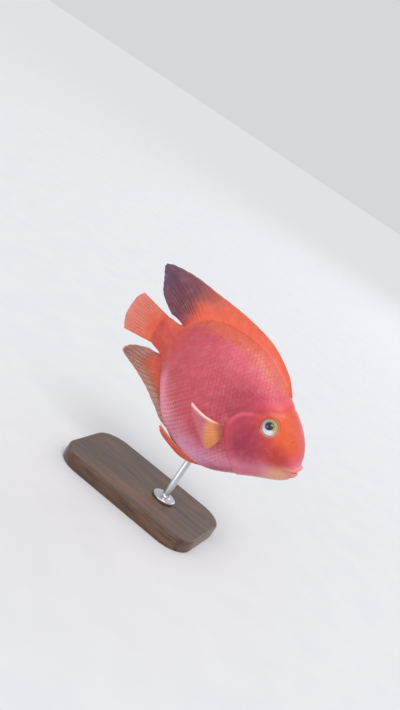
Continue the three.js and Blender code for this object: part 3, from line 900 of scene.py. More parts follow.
# %% [markdown]
# Every plate is the same disc grid, stretched from a square so that no corner of it is pinched.
# Its corners are worked out on the body's own surface, so each plate bends with the body. The
# same numbers serve both flanks: the right one is the mirror image of the left.

# %% Scale plates
SIDE = 6
HALF_TALL, HALF_LONG = 0.78, 0.92
PLATE = 0.09
CLEAR = 0.12
DOME = 0.07
FRONT_SUNK = 0.14
STEP = 0.01
square = np.linspace(-1, 1, SIDE)
q, p = (a.ravel() for a in np.meshgrid(square, square, indexing="ij"))
disc_x = p * np.sqrt(1 - q * q / 2)
disc_y = q * np.sqrt(1 - p * p / 2)
out = np.hypot(disc_x, disc_y)


def scale_step(by_station, by_turn):
    """How far the surface moves for a small step from each seat, per unit of the step."""
    moved = body(seats[:, 0] + by_station, seats[:, 1] + by_turn) - body(seats[:, 0], seats[:, 1])
    return np.linalg.norm(moved, axis=-1)[:, None] / (by_station + by_turn)


tall = seats[:, 2:3]
size = STAGGER * tall * mix(1.0, FRONT_SIZE, front_row)
plate_s = np.clip(seats[:, :1] - disc_y * HALF_LONG * size / scale_step(STEP, 0), 0.05, LAST)
plate_turn = seats[:, 1:2] + disc_x * HALF_TALL * size / scale_step(0, STEP)
sheet = body(plate_s, plate_turn)
normal = facing(plate_s, plate_turn)
jitter = 1 + 0.15 * rng.standard_normal((len(seats), 1))
rise = mix(mix(-0.12, -0.24, calm), mix(-0.03, 0.28, calm), (disc_y + 1) / 2)
lift = (rise * jitter + DOME * (1 - out ** 2) * calm - FRONT_SUNK * front_row) * tall / ROW_HEIGHT
upper = sheet + normal * (lift - SCALE_DEPTH + CLEAR)[..., None]
lower = sheet + normal * (lift - SCALE_DEPTH + CLEAR - PLATE * tall / ROW_HEIGHT)[..., None]
plates = np.concatenate([upper, lower], 1)


def shell_faces(rows, columns):
    """Faces of a closed shell: a grid, the same grid again turned over, and walls round the rim."""
    top = grid_faces(rows, columns)
    grid = np.arange(rows * columns).reshape(rows, columns)
    border = np.concatenate([grid[0, :-1], grid[:-1, -1], grid[-1, :0:-1], grid[:0:-1, 0]])
    after = np.roll(border, -1)
    shift = rows * columns
    walls = np.stack([border, border + shift, after + shift, after], -1)
    return top, top[:, ::-1] + shift, walls


count, each = len(seats), 2 * SIDE * SIDE
one_scale = np.vstack(shell_faces(SIDE, SIDE))
scale_faces = (one_scale + each * np.arange(count)[:, None, None]).reshape(-1, 4)
print("faces of one scale:", len(one_scale))

# %% [markdown]
# In the photo the scales' free edges catch the light as fine pale arcs, most of all low on the
# rear flank and along the upper flank. So each scale has a pale rim whose strength depends on
# the place, and a tint of its own.

# %% Scale colours
cx, cz = centres[:, 0], centres[:, 2]
own = paint(cx, cz)[:, None]
local = paint(plates[..., 0], plates[..., 2])
scale_tone = mix(own, local, mix(1.0, 0.5, calm[..., None]))
tint = 1 + 0.035 * calm[..., None] * rng.standard_normal((count, 1, 1))
scale_tone = np.clip(scale_tone * tint, 0, 1)
rim = np.tile(ease(0.68, 1.0, out) * ease(-0.1, 0.6, disc_y), 2)
sparkle = 0.08 + 0.62 * oval(cx, cz, (-26, -46), (24, 15), -35)
sparkle += 0.24 * oval(cx, cz, (14, 10), (34, 9), -18)
rim_light = rim * sparkle[:, None] * calm

scale_material, tree, shader, colour = flesh_shader(
    "scales", 0.3, 0.2, 0.12, Coat_Weight=0.15, Subsurface_Weight=0.15)
pale = colour_mix(tree, 0.55, colour, (1.0, 0.66, 0.62, 1))
tree.links.new(colour_mix(tree, painted(tree, "rim")[1], colour, pale), shader.inputs["Base Color"])
tree.links.new(spread(tree, noise(tree, on_object(tree), 420.0), 0.26, 0.42), shader.inputs["Roughness"])
print("strongest rim:", rim_light.max().round(2))

# %% [markdown]
# Each flank's scales are one piece. Its map puts each scale as a small patch where the scale's
# root lies when the skin is rolled out flat: along by station, and up by turn.

# %% Scale pieces
PATCH = 0.0015
for word, side in SIDES:
    points = plates.reshape(-1, 3).copy()
    bow = sway(points[:, 0])
    points[:, 1] = (points[:, 1] - bow) * side + bow
    piece = new_piece("scales_" + word, to_model(points), [scale_faces], "flank_skin", scale_material,
                      tone=scale_tone.reshape(-1, 3), rim=rim_light.ravel())
    root_u = seats[:, :1] / LAST + PATCH * np.tile(disc_x, 2)
    root_v = seats[:, 1:2] / math.pi + 0.5 + PATCH * np.tile(disc_y, 2)
    places = np.clip(np.stack([root_u, root_v], -1), 0, 1).reshape(-1, 2)
    corners = np.empty(len(piece.data.loops), int)
    piece.data.loops.foreach_get("vertex_index", corners)
    chart = piece.data.uv_layers.new(name="OFBake")
    chart.data.foreach_set("uv", places[corners].ravel())

# %% [markdown]
# ## Fins
#
# A fin is a thin web stretched between rays. The sheet is spanned by straight or gently bowed
# lines from a root curve inside the body to the fin's rim: u runs along the root from ray to
# ray, and v out to the rim.

# %% Fin sheets
BOW_UNIT = 1 / 20


def median_sheet(root, rim, bow):
    """Sheet in the fish's middle plane: from the root's point to the rim's by v, pushed aside
    by bow units times the sine of half a turn of v, and set over by the tail's sway."""
    start, end = smooth(root), smooth(rim)

    def place(u, v):
        a, b = start(u * (len(root) - 1)), end(u * (len(rim) - 1))
        bend = bow(u) * np.sin(np.pi * v) * BOW_UNIT
        x = mix(a[..., 0], b[..., 0], v) + bend * (b - a)[..., 1]
        z = mix(a[..., 1], b[..., 1], v) - bend * (b - a)[..., 0]
        return np.stack([x, sway(x), z], -1)

    return place


def paired_sheet(side, base, tips, sag):
    """Sheet from a short base on the flank to the tips, hanging by sag in its middle."""
    start, end = smooth(base), smooth(tips)

    def place(u, v):
        p = mix(start(u * (len(base) - 1)), end(u * (len(tips) - 1)), v[..., None])
        p[..., 2] -= sag * np.sin(np.pi * v)
        p[..., 1] *= side
        return p

    return place


print("a bow of 1 pushes a ray's middle aside by", BOW_UNIT, "of its length")

# %% [markdown]
# Spiny rays stay single and taper to a point. Soft rays branch twice on their way out and have
# many fine joints. Both are ridges on either face of the web. The web itself thickens where it
# leaves the body, is cut in a little between the rays' tips, and waves gently, so the fin
# doesn't look like a card.

# %% Rays and web
PER_RAY = 10
OUTWARD = 64
RAY_HEIGHT, RAY_HEIGHT_AT_RIM = 0.3, 0.04
RAY_SIZE, RAY_SIZE_AT_RIM = 0.42, 0.2
WEB, WEB_AT_RIM = 0.2, 0.08
FORK, TWIG = 0.23, 0.11
JOINT_DEPTH, JOINT_RATE = 0.12, 150
RIM_THINNED = 0.45


def ray_field(u, v, rays, soft, ray_gap):
    """How far a place is from the nearest ray, in mm: rays stand ray_gap mm apart, and each
    soft one parts in two past a third of its length and in four past two thirds."""
    position = u * (rays - 1)
    away = position - np.round(position)
    fork = soft * FORK * ease(0.3, 1.0, v)
    twig = soft * TWIG * ease(0.62, 1.0, v)
    nearest = np.min([np.abs(away - a * fork - b * twig) for a in (-1, 1) for b in (-1, 1)], 0)
    return nearest * ray_gap


def add_fin(name, place, rays, soft_from, notch, paint_fin, nodes, flare=None, ripple=0.0,
            ray_size=RAY_SIZE):
    """Closed shell of a fin: its sheet moved both ways along the normal by the thickness, which
    is the web's, plus a bell-shaped ridge at each ray, plus the flare where there is one."""
    u = np.linspace(0, 1, (rays - 1) * PER_RAY + 1)[:, None] + np.zeros(OUTWARD)
    v = np.linspace(0, 1, OUTWARD) + np.zeros_like(u)
    position = u * (rays - 1)
    between = np.abs(position - np.round(position)) * 2
    v = v * (1 - notch * between ** 1.6 * v ** 6)
    points = place(u, v)
    along_u = np.gradient(points, axis=0) / np.gradient(u, axis=0)[..., None]
    along_v = np.gradient(points, axis=1)
    normal = unit(np.cross(along_u, along_v))
    soft = ease(soft_from - 0.02, soft_from + 0.02, u)
    distance = ray_field(u, v, rays, soft, np.linalg.norm(along_u, axis=-1) / (rays - 1))
    ridge = bell(distance, mix(ray_size, RAY_SIZE_AT_RIM, v))
    joints = 1 + JOINT_DEPTH * np.sin(v * JOINT_RATE) * soft
    thick = mix(WEB, WEB_AT_RIM, v) + ridge * joints * mix(RAY_HEIGHT, RAY_HEIGHT_AT_RIM, v)
    if flare:
        ends = 0.2 + 0.8 * ease(0, 0.1, u) * ease(1, 0.93, u)
        thick += ends * flare(points[..., 0], points[..., 2])
    thick *= mix(1.0, RIM_THINNED, ease(0.97, 1.0, v))
    wave = np.sin(position * 0.9 + 2.2 * v) + 0.5 * np.sin(position * 2.3 + 1.0)
    points = points + normal * (ripple * ease(0.35, 1.0, v) * wave)[..., None]
    front = points + normal * thick[..., None]
    rear = points - normal * thick[..., None]
    tone, cover = paint_fin(u, v, points[..., 0], points[..., 2], ridge)
    new_piece(
        name, to_model(np.concatenate([front.reshape(-1, 3), rear.reshape(-1, 3)])),
        shell_faces(*u.shape), "fin", fin_material, nodes,
        tone=np.tile(tone.reshape(-1, 3), (2, 1)), cover=np.tile(cover.ravel(), 2))


print("points on one face from ray to ray:", PER_RAY * OUTWARD)

# %% [markdown]
# The web is clear enough for light to come through, more so towards the rim of the soft parts,
# so its opacity is painted along with its colour.

# %% Fin material
fin_material, tree, shader, colour = flesh_shader(
    "fin_web", 0.25, 0.3, 0.15, Coat_Weight=0.1, Subsurface_Weight=0.1, Roughness=0.5)
tree.links.new(colour, shader.inputs["Base Color"])
tree.links.new(painted(tree, "cover")[1], shader.inputs["Alpha"])

RIM_PINK = srgb(238, 150, 140)
SOFT_PLUM = srgb(110, 58, 78)
TIP_PLUM = srgb(66, 34, 80)
DORSAL_FRONT = srgb(236, 124, 112)
DORSAL_REAR = srgb(166, 80, 80)
ANAL_OLIVE = srgb(174, 98, 70)
ANAL_PALE = srgb(226, 170, 130)
TAIL_ORANGE = srgb(226, 104, 74)
PECTORAL_WHITE = srgb(238, 196, 186)
PECTORAL_YELLOW = srgb(222, 142, 92)
PECTORAL_CLEAR = srgb(212, 140, 160)
PELVIC_ORANGE = srgb(232, 112, 84)
print("nodes in the fins' material:", len(tree.nodes))

# %% [markdown]
# Each fin has a painter of its own, which gives the colour and the opacity at every point. The
# rays are darker than the web in the tail and the dorsal fin, and stay solid where the web is
# clear. All the painters take the same values, so that one function can make any fin.

# %% Painting the median fins


def paint_dorsal(u, v, x, z, ridge):
    """The band's orange over the back's own colour, pinker in front and at the margin, turning
    through brick to a clear plum with darker rays in the soft part behind. The rays fade out
    before the rim."""
    ridge = ridge * ease(0.95, 0.55, v)
    clear = ease(-41, -58, x) * ease(-0.1, 0.3, v)
    rays_seen = ease(-38, -52, x) * ridge * ease(0.02, 0.12, v)
    under = paint(x, np.minimum(z, np.interp(x, back_line[:, 0], back_line[:, 1])))
    c = lay(under, BAND_ORANGE, ease(-60, -48, x))
    c = lay(c, DORSAL_FRONT, 0.9 * ease(-8, 30, x) * ease(0.85, 0.35, v))
    c = lay(c, DORSAL_REAR, 0.9 * ease(-24, -46, x) * ease(0.3, 0.7, v))
    c = lay(c, SOFT_PLUM, 0.92 * clear)
    c = lay(c, TIP_PLUM, ease(-62, -84, x) * 0.8)
    c = lay(c, RIM_PINK, 0.6 * ease(0.955, 0.985, v) * ease(-88, -40, x))
    c = lay(c, c * [0.4, 0.3, 0.36], 0.9 * rays_seen)
    c = lay(c, c * [0.8, 0.62, 0.6], 0.35 * (1 - clear) * ridge * ease(0.3, 0.9, v))
    return c, 1 - clear * (0.14 + 0.08 * ease(-60, -84, x)) * (1 - 0.75 * ridge)


def paint_anal(u, v, x, z, ridge):
    """Orange at the root, clear yellow olive in the web, with a pale margin."""
    c = lay(plain(ANAL_OLIVE, x), STEM_ORANGE, 0.8 * ease(0.55, 0.2, v))
    c = lay(c, SOFT_PLUM, 0.5 * ease(-55, -80, x))
    c = lay(c, ANAL_PALE, 0.7 * ease(0.95, 0.985, v))
    c = lay(c, c * [0.75, 0.6, 0.55], 0.55 * ridge * ease(0.2, 0.6, v))
    return c, 1 - 0.42 * ease(0.3, 0.7, v) * (1 - 0.75 * ridge)


def paint_tail(u, v, x, z, ridge):
    """Orange root with redder rays, clearer and pinker towards the rim."""
    c = lay(plain(TAIL_ORANGE, x), STEM_ORANGE, ease(0.4, 0.1, v))
    c = lay(c, RIM_PINK, 0.5 * ease(0.7, 1.0, v))
    c = lay(c, c * [0.78, 0.6, 0.55], 0.5 * ridge)
    return c, 1 - 0.45 * ease(0.2, 0.7, v) * (1 - 0.75 * ridge)


print("opacity at the dorsal fin's tip:", paint_dorsal(1.0, 1.0, -86.0, 36.0, 0.0)[1].round(2))

# %% [markdown]
# The same root and rim points as in the solids keep each fin where its node is.

# %% Median fins
DORSAL = dict(
    root=[[44, 7], [37, 11], [24, 18], [6, 23], [-12, 23.5], [-27, 20], [-37, 13.5], [-41.5, 9.5],
          [-44.5, 7.2], [-46, 5.6]],
    rim=[[44, 13.4], [33, 24.8], [12, 35.4], [-14.7, 40.2], [-40, 41], [-66, 41], [-86.4, 36],
         [-83, 26.5], [-75.5, 16], [-62.5, 8.4]],
    bow=lambda u: 1.4 * ease(0.5, 0.8, u))
ANAL = dict(
    root=[[-17, -56], [-22, -52], [-28, -45.5], [-33, -38.5], [-38, -31.5], [-42, -25.5], [-45, -21],
          [-47, -17]],
    rim=[[-19, -61], [-27, -58.8], [-37, -52.6], [-51, -45.4], [-66, -40.4], [-80, -35.8], [-76, -28],
         [-63.5, -22]],
    bow=lambda u: -1.4 * ease(0.3, 0.7, u))
CAUDAL = dict(
    root=[[-56, 4.8], [-56.5, -1], [-56.8, -6], [-56.5, -11], [-56, -16]],
    rim=[[-89.8, 8.4], [-93, 2.6], [-94, -6], [-92.6, -15.4], [-88.8, -22.4]],
    bow=lambda u: 0 * u)


def flare_above(x, z):
    """Thickening that falls off with the height above the back."""
    rise = z - np.interp(x, back_line[:, 0], back_line[:, 1])
    return 1.9 * np.exp(-np.maximum(rise, 0) / 2.6)


def flare_below(x, z):
    """Thickening that falls off with the depth below the belly."""
    drop = np.interp(x, belly_line[:, 0], belly_line[:, 1]) - z
    return 2.0 * np.exp(-np.maximum(drop, 0) / 2.2)


def flare_behind(x, z):
    """Thickening that falls off behind the tail stem."""
    return 1.1 * np.exp(-np.maximum(-60 - x, 0) / 4)


add_fin("dorsal_web", median_sheet(**DORSAL), 28, 0.62, 0.012, paint_dorsal, ["dorsal_fin"],
        flare_above, ripple=0.3)
add_fin("anal_web", median_sheet(**ANAL), 19, 0.42, 0.015, paint_anal, ["anal_fin"],
        flare_below, ripple=0.25)
add_fin("tail_web", median_sheet(**CAUDAL), 16, 0.0, 0.01, paint_tail, ["tail_fin"],
        flare_behind, ripple=0.3)

# %% [markdown]
# The pectoral fin is the most striking one: a stiff white ray on top, a yellow fan by the body,
# and a web so clear that the flank shows through. The pelvic fins lie folded along the belly.

# %% Painting the paired fins


def paint_pectoral(u, v, x, z, ridge):
    """White leading ray above, pink where it leaves the flank, a yellow fan on the inner half
    that reaches farther out on the lower rays, and beyond it a web that is nearly clear."""
    reach = mix(0.5, 0.95, ease(0.2, 1.0, u))
    yellow = ease(reach + 0.12, reach - 0.1, v)
    first = ease(0.19, 0.09, u)
    web = (1 - first) * mix(0.87, 0.15, yellow)
    c = lay(plain(PECTORAL_CLEAR, x), PECTORAL_YELLOW, yellow)
    c = lay(c, CHEEK_ROSE, 0.75 * ease(0.36, 0.1, v))
    c = lay(c, PECTORAL_WHITE, first * ease(0.2, 0.45, v))
    c = lay(c, c * [0.8, 0.52, 0.5], 0.5 * ridge * yellow * (1 - first))
    return c, 1 - web * (1 - 0.25 * ridge * ease(1.0, 0.7, v))


def paint_pelvic(u, v, x, z, ridge):
    """Orange with a pale leading edge, thin and a little clear at the tips."""
    c = lay(plain(PELVIC_ORANGE, x), RIM_PINK, 0.7 * ease(0.2, 0.0, u))
    c = lay(c, c * [0.8, 0.62, 0.55], 0.4 * ridge)
    return c, 1 - 0.3 * ease(0.4, 0.9, v) * (1 - ridge)


print("opacity of the outer pectoral web:", paint_pectoral(0.5, 0.9, 0.0, -30.0, 0.0)[1].round(2))

# %% [markdown]
# The paired fins stand out from the body, so their root and tip points have all three
# coordinates. They are given for the left side, and the right side is their mirror image.

# %% Paired fins
PECTORAL = dict(
    base=[[22.6, 22.2, -24.6], [22.8, 22.2, -26.6], [23.2, 22.2, -28.6], [24.2, 21.8, -30.6]],
    tips=[[-6, 31, -24], [0, 36.5, -29.5], [12.5, 37, -38], [20.5, 31, -45]], sag=3)
PELVIC = dict(
    base=[[24, 9.4, -61], [22.8, 8, -62.2], [21.6, 6.8, -63.1], [20.4, 5.6, -63.8]],
    tips=[[-21, 13.2, -56.4], [-20, 11.6, -60.5], [-16.5, 9.4, -63.8], [-11, 7, -66]], sag=4)

for word, side in SIDES:
    add_fin("pectoral_web_" + word, paired_sheet(side, **PECTORAL), 12, 0.08, 0.02, paint_pectoral,
            ["pectoral_fin_" + word])
    add_fin("pelvic_web_" + word, paired_sheet(side, **PELVIC), 6, 0.2, 0.05, paint_pelvic,
            ["pelvic_fin_" + word], ray_size=0.35)

# %% [markdown]
# ## Eyes
#
# The eye is a flattened ball with a clear front that bulges a little more. It is a grid of rings
# and spokes round the way the eye looks, which is the way the cheek faces at its seat.

# %% Eyeball
EYE_HALF = 5.0
EYE_OUT = 1.5
EYE_END = math.radians(118)
CLEAR_BULGE = 0.5
EYE_RINGS, EYE_SPOKES = 60, 120

seat = body(eye_station, eye_turn)
look = facing(eye_station, eye_turn)
front_way = unit(np.array([1.0, 0, 0]) - look * look[0])
up_way = np.cross(front_way, look)
up_way = up_way * np.sign(up_way[2])

radius = np.linspace(0, 1, EYE_RINGS)[:, None]
angle = np.linspace(0, 2 * np.pi, EYE_SPOKES, endpoint=False)
lean = radius * EYE_END
across = EYE_RADIUS * np.sin(lean)
rise = EYE_HALF * np.cos(lean) + CLEAR_BULGE * ease(4.6, 2.4, across) * (lean < 1.5)
flat_x, flat_z = across * np.cos(angle), across * np.sin(angle)
ball = (seat + look * (rise - EYE_HALF + EYE_OUT + 0 * angle)[..., None]
        + front_way * flat_x[..., None] + up_way * flat_z[..., None])
print("the left eye's seat, mm:", seat.round(1).tolist())

# %% [markdown]
# Round the dark pupil lies a metallic ring, here silver and broadest below, that turns yellow
# green above and in front. The pupil sits a little high and to the rear. The rings are painted
# by the distance from the pupil and the angle round the eye, with fine spokes, and the part
# inside the socket is red.

# %% Eye colours
PUPIL = dict(x=-1.3, z=0.5, radius=2.75)
PUPIL_INK = srgb(26, 14, 38)
SILVER = srgb(176, 184, 216)
SILVER_WHITE = srgb(244, 244, 252)
YELLOW_GREEN = srgb(202, 176, 52)
OLIVE = srgb(92, 84, 44)
PALE_RING = srgb(206, 196, 170)
SOCKET_RED = srgb(190, 70, 54)

from_pupil = np.hypot(flat_x - PUPIL["x"], flat_z - PUPIL["z"])
spokes = 0.5 + 0.5 * np.sin(angle * 37 + 2 * np.sin(angle * 5)) * np.cos(angle * 23)
yellow_side = ease(-0.35, 0.75, np.sin(angle) * 0.85 + np.cos(angle) * 0.53)
bright_side = ease(-0.5, 0.9, np.cos(angle) * 0.5 - np.sin(angle) * 0.87)
rear_side = ease(0.2, 0.8, -np.cos(angle))
eye_tone = lay(plain(SILVER, flat_x), SILVER_WHITE, 0.95 * bright_side * ease(2.6, 3.8, from_pupil))
eye_tone = lay(eye_tone, YELLOW_GREEN, 0.9 * yellow_side * ease(2.9, 3.8, from_pupil))
eye_tone = lay(eye_tone, OLIVE, 0.75 * yellow_side * ease(4.1, 3.3, from_pupil))
eye_tone = lay(eye_tone, OLIVE, 0.2 * rear_side * ease(4.4, 5.6, across))
eye_tone = eye_tone * (0.86 + 0.2 * spokes)[None, :, None]
eye_tone = lay(eye_tone, PALE_RING, 0.9 * ease(4.95, 5.4, across) * (1 - 0.5 * yellow_side))
eye_tone = lay(eye_tone, PUPIL_INK, ease(PUPIL["radius"] + 0.25, PUPIL["radius"] - 0.1, from_pupil))
eye_tone = lay(eye_tone, SOCKET_RED, ease(1.3, 1.45, lean + 0 * angle))
print("eye painted at", from_pupil.size, "places")

# %% [markdown]
# A clear coat gives the wet shine, and the ring is partly metal, as its cells are in life.

# %% Eye pieces
eye_material, tree, shader = new_material(
    "glassy_eye", Roughness=0.2, Coat_Weight=1.0, Coat_Roughness=0.02, IOR=1.4)
tree.links.new(painted(tree, "tone")[0], shader.inputs["Base Color"])
tree.links.new(painted(tree, "metal")[1], shader.inputs["Metallic"])

ring_in = ease(PUPIL["radius"] + 0.1, PUPIL["radius"] + 0.6, from_pupil)
metal = 0.35 * ring_in * ease(5.4, 4.8, across)
eye_faces = grid_faces(EYE_RINGS, EYE_SPOKES, wrap=True)
for word, side in SIDES:
    points = ball.reshape(-1, 3) * [1, side, 1]
    new_piece("eyeball_" + word, to_model(points), [eye_faces], "eye", eye_material,
              ["eye_" + word], tone=eye_tone.reshape(-1, 3), metal=metal.ravel())

# %% [markdown]
# A narrow fold of skin lies round the eye, as a fish has no lids. It is a ring whose section is
# a low arch from the eyeball out to the cheek.

# %% Fold round the eye
FOLD_STEPS = 12
FOLD_RADIUS = 6.6
FOLD_HALF = 0.85
FOLD_HEIGHT = 0.95
FOLD_INNER, FOLD_OUTER = -1.5, -0.6

arch = np.linspace(0, np.pi, FOLD_STEPS)[:, None]
fold_radius = FOLD_RADIUS - FOLD_HALF * np.cos(arch) + 0 * angle
fold_rise = mix(FOLD_INNER, FOLD_OUTER, arch / np.pi) + FOLD_HEIGHT * np.sin(arch) + 0 * angle
spot = (seat + look * fold_rise[..., None] + front_way * (fold_radius * np.cos(angle))[..., None]
        + up_way * (fold_radius * np.sin(angle))[..., None])
fold_tone = paint(spot[..., 0], spot[..., 2])
fold_tone = lay(fold_tone, PALE_RING, 0.6 * ease(FOLD_RADIUS, 5.9, fold_radius))
arch_faces = grid_faces(FOLD_STEPS, EYE_SPOKES, wrap=True)
last_ring = (FOLD_STEPS - 1) * EYE_SPOKES
under = grid_faces(2, EYE_SPOKES, wrap=True)
under = np.where(under < EYE_SPOKES, under + last_ring, under - EYE_SPOKES)
for word, side in SIDES:
    points = spot.reshape(-1, 3) * [1, side, 1]
    new_piece("eye_fold_" + word, to_model(points), [arch_faces, under], "face_skin",
              skin_material, tone=fold_tone.reshape(-1, 3))

# %% [markdown]
# ## The stand
#
# The base is a plate with rounded corners and softened edges. Its outline is drawn once and
# repeated at each height, a little farther in where the edge is soft, and a fan of triangles
# closes the middle below and above.

# %% Base plate
BASE = dict(length=116.0, width=80.0, thickness=10.0, corner=20.0, bevel=1.2)
CORNER_STEPS = 16
BEVEL_STEPS = 7
FLAT_INSETS = [19, 8, 2.5]


def rounded_outline(length, width, corner):
    """Closed outline of a rectangle with round corners, and the way it faces at each point."""
    arc = np.linspace(0, np.pi / 2, CORNER_STEPS)
    angles = np.concatenate([arc + k * np.pi / 2 for k in range(4)])
    signs = np.repeat([[1, 1], [-1, 1], [-1, -1], [1, -1]], CORNER_STEPS, 0)
    outward = np.stack([np.cos(angles), np.sin(angles)], -1)
    centre = signs * [length / 2 - corner, width / 2 - corner]
    return centre + corner * outward, outward


outline, outline_facing = rounded_outline(BASE["length"], BASE["width"], BASE["corner"])
bend = np.linspace(0, np.pi / 2, BEVEL_STEPS)
inset = BASE["bevel"] * (1 - np.sin(bend))
level_up = BASE["bevel"] * (1 - np.cos(bend))
insets = np.concatenate([FLAT_INSETS, inset, inset[::-1], FLAT_INSETS[::-1]])
flat = np.zeros(len(FLAT_INSETS))
heights = np.concatenate([flat, level_up, BASE["thickness"] - level_up[::-1], flat + BASE["thickness"]])
plate = outline - outline_facing * insets[:, None, None]
plate = np.concatenate([plate, 0 * plate[..., :1] + heights[:, None, None]], -1).reshape(-1, 3)
ring = np.arange(len(outline))
following = np.roll(ring, -1)
top_start = (len(insets) - 1) * len(outline)
bottom_fan = np.stack([following, ring, 0 * ring + len(plate)], -1)
top_fan = np.stack([top_start + ring, top_start + following, 0 * ring + len(plate) + 1], -1)
side_faces = grid_faces(len(insets), len(outline), wrap=True)
base_points = np.vstack([plate, [0, 0, 0], [0, 0, BASE["thickness"]]])
print("base plate of", len(insets), "rings with", len(outline), "points each")

# %% [markdown]
# The wood is dark and oiled. Its growth rings and its pores are noise drawn out along the
# plate's length. The rings set the colour and how dull the surface is, and the pores are darker
# and sunk.

# %% Wood
EARLY_WOOD = (0.035, 0.016, 0.008, 1)
LATE_WOOD = (0.16, 0.075, 0.036, 1)
PORE_DEPTH = 0.0002
PORE_BROWN = (0.02, 0.009, 0.005, 1)

wood_material, tree, shader = new_material("oiled_wood", Coat_Weight=0.25, Coat_Roughness=0.25)
grain_place = streaked(tree, (9.0, 70.0, 70.0), (0.1, 0.05, 0.06))
rings = noise(tree, grain_place, 1.6, Detail=5.0, Distortion=1.4)
pores = noise(tree, streaked(tree, (60.0, 1500.0, 1500.0)), 1.0, Detail=3.0)
bands = add(tree, "ValToRGB", {"Fac": rings})
for element, position, tint in zip(bands.color_ramp.elements, (0.32, 0.7), (EARLY_WOOD, LATE_WOOD)):
    element.position = position
    element.color = tint
pore_dark = number(tree, "MULTIPLY", spread(tree, pores, 0.0, 1.0, (0.5, 0.75)), 0.55)
wood_colour = colour_mix(tree, pore_dark, bands.outputs["Color"], PORE_BROWN)
tree.links.new(wood_colour, shader.inputs["Base Color"])
tree.links.new(spread(tree, rings, 0.34, 0.5), shader.inputs["Roughness"])
add_bump(tree, shader, pores, 0.25, PORE_DEPTH)
new_piece("base_plate", base_points * MM, [side_faces, bottom_fan, top_fan], "stand_wood",
          wood_material, ["stand_base"])

# %% [markdown]
# The rod is turned: a profile of radius and height is carried round its axis. It has a low foot
# with a round edge and a hollow curve up to the shaft, and it ends inside the belly. The foot
# stays a hair clear of the base, as in the solids.

# %% Stand rod
GAP = 0.3
ROD = dict(x=9.0, radius=2.6, chamfer=0.7, sink=5.5)
FOOT = dict(radius=9.0, chamfer=0.3, wall=1.2, edge=1.0)
HOLLOW = dict(radius=2.2, start=2.3)
AXIS = 0.01
ROD_STEPS = 48

rod_foot = BASE["thickness"] + GAP
belly_at_rod = float(np.interp(ROD["x"], belly_line[:, 0], belly_line[:, 1]))
rod_top = FISH_Z + belly_at_rod + ROD["sink"] - rod_foot


def turned(profile, steps, centre):
    """Points and faces of a profile of radius and height carried round an upright axis."""
    turn = np.linspace(0, 2 * np.pi, steps, endpoint=False)
    points = np.stack([
        centre[0] + profile[:, :1] * np.cos(turn), centre[1] + profile[:, :1] * np.sin(turn),
        centre[2] + profile[:, 1:] + 0 * turn], -1)
    return points.reshape(-1, 3), grid_faces(len(profile), steps, wrap=True)


quarter = np.linspace(0, np.pi / 2, 6)
foot_edge = np.stack([
    FOOT["radius"] - FOOT["edge"] + FOOT["edge"] * np.cos(quarter),
    FOOT["wall"] + FOOT["edge"] * np.sin(quarter)], -1)
hollow = np.stack([
    ROD["radius"] + HOLLOW["radius"] * (1 - np.sin(quarter)),
    HOLLOW["start"] + HOLLOW["radius"] * (1 - np.cos(quarter))], -1)
rod_profile = np.vstack([
    [[AXIS, 0], [FOOT["radius"] - FOOT["chamfer"], 0], [FOOT["radius"], FOOT["chamfer"]]],
    foot_edge, hollow,
    [[ROD["radius"], rod_top - ROD["chamfer"]], [ROD["radius"] - ROD["chamfer"], rod_top],
     [AXIS, rod_top]]])
rod_points, rod_faces = turned(rod_profile, ROD_STEPS, (FISH_X + ROD["x"], 0, rod_foot))
print("rod of", round(rod_top, 1), "mm")

# %% [markdown]
# Brushed steel is metal with fine lines round the rod: noise that is drawn out across and packed
# tight upwards sets the shade, how dull it is and a faint bump.

# %% Steel
STEEL_DARK = (0.52, 0.53, 0.55, 1)
STEEL_LIGHT = (0.72, 0.73, 0.75, 1)
BRUSH_DEPTH = 0.0001

steel_material, tree, shader = new_material("brushed_steel", Metallic=1.0)
brushing = noise(tree, streaked(tree, (160.0, 160.0, 6000.0)), 1.0, Detail=3.0)
steel_tint = colour_mix(tree, brushing, STEEL_DARK, STEEL_LIGHT)
tree.links.new(steel_tint, shader.inputs["Base Color"])
tree.links.new(spread(tree, brushing, 0.22, 0.42), shader.inputs["Roughness"])
add_bump(tree, shader, brushing, 0.2, BRUSH_DEPTH)
new_piece("rod", rod_points * MM, [rod_faces], "stand_steel", steel_material, ["stand_rod"])

# %% [markdown]
# ## Floor and light
#
# The setting is a plain pale floor with a hint of dust. It lies just under the base, and it is
# staging, so it isn't part of the model.

# %% Floor
FLOOR_SIZE = 24.0
FLOOR_DROP = 0.0002
FLOOR_DARK = (0.7, 0.71, 0.74, 1)
FLOOR_LIGHT = (0.76, 0.77, 0.79, 1)

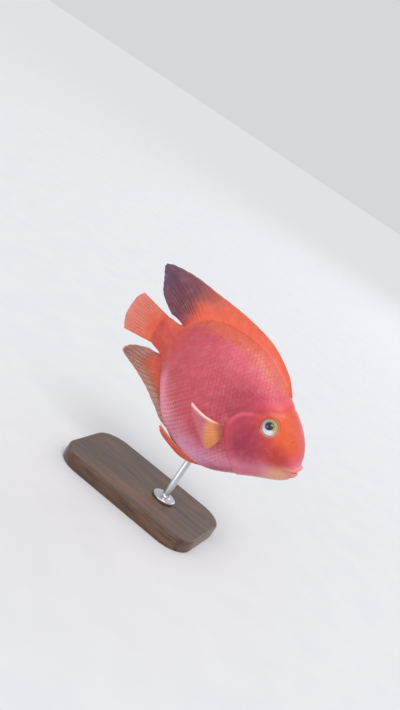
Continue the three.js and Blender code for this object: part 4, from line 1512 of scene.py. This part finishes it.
half = FLOOR_SIZE / 2
floor_mesh = bpy.data.meshes.new("floor")
floor_mesh.from_pydata(
    [(-half, -half, 0), (half, -half, 0), (half, half, 0), (-half, half, 0)], [], [(0, 1, 2, 3)])
floor = bpy.data.objects.new("floor", floor_mesh)
floor.location.z = -FLOOR_DROP
bpy.context.scene.collection.objects.link(floor)
floor_material, tree, shader = new_material("pale_floor", Roughness=0.75)
floor_tint = colour_mix(tree, noise(tree, on_object(tree), 30.0), FLOOR_DARK, FLOOR_LIGHT)
tree.links.new(floor_tint, shader.inputs["Base Color"])
floor_mesh.materials.append(floor_material)
print("floor of", FLOOR_SIZE, "m square")

# %% [markdown]
# An even pale sky gives most of the light. A sun softened to a wide disc comes from above on
# the camera's side, and two weak, cool lamps fill in: one low on the camera's side, which keeps
# the belly mauve, and one behind the fish, which lights the clear webs from the back.

# %% Light
SKY = (0.95, 0.97, 1.0, 1)
SKY_STRENGTH = 0.7
SUN_STRENGTH = 1.35
SUN_WIDTH = math.radians(35)
SUN_COLOUR = (1.0, 0.97, 0.93)
SUN_FROM = (0.3, -0.55, 1.0)
LAMP_COLOUR = (0.95, 0.96, 1.0)

world = bpy.data.worlds.new("studio")
world.use_nodes = True
background = world.node_tree.nodes["Background"]
background.inputs["Color"].default_value = SKY
background.inputs["Strength"].default_value = SKY_STRENGTH
bpy.context.scene.world = world


def add_light(name, kind, way, strength, colour):
    """A light that shines against the way given, and its settings for size and the like."""
    data = bpy.data.lights.new(name, kind)
    data.energy = strength
    data.color = colour
    light = bpy.data.objects.new(name, data)
    light.rotation_mode = "QUATERNION"
    light.rotation_quaternion = way.to_track_quat("Z", "Y")
    bpy.context.scene.collection.objects.link(light)
    return light, data


def add_lamp(name, place, size, watts):
    """A square lamp at a place, turned to face the fish."""
    way = Vector(place) - fish_origin
    lamp, data = add_light(name, "AREA", way, watts, LAMP_COLOUR)
    lamp.location = place
    data.size = size


sun_data = add_light("key", "SUN", Vector(SUN_FROM), SUN_STRENGTH, SUN_COLOUR)[1]
sun_data.angle = SUN_WIDTH
add_lamp("camera_side", (-0.9, -2.2, 0.35), 1.6, 16.0)
add_lamp("behind", (0.6, 2.2, 1.2), 1.2, 7.0)
bpy.context.scene.view_settings.view_transform = "Standard"
print("lights:", [light.name for light in bpy.data.lights])
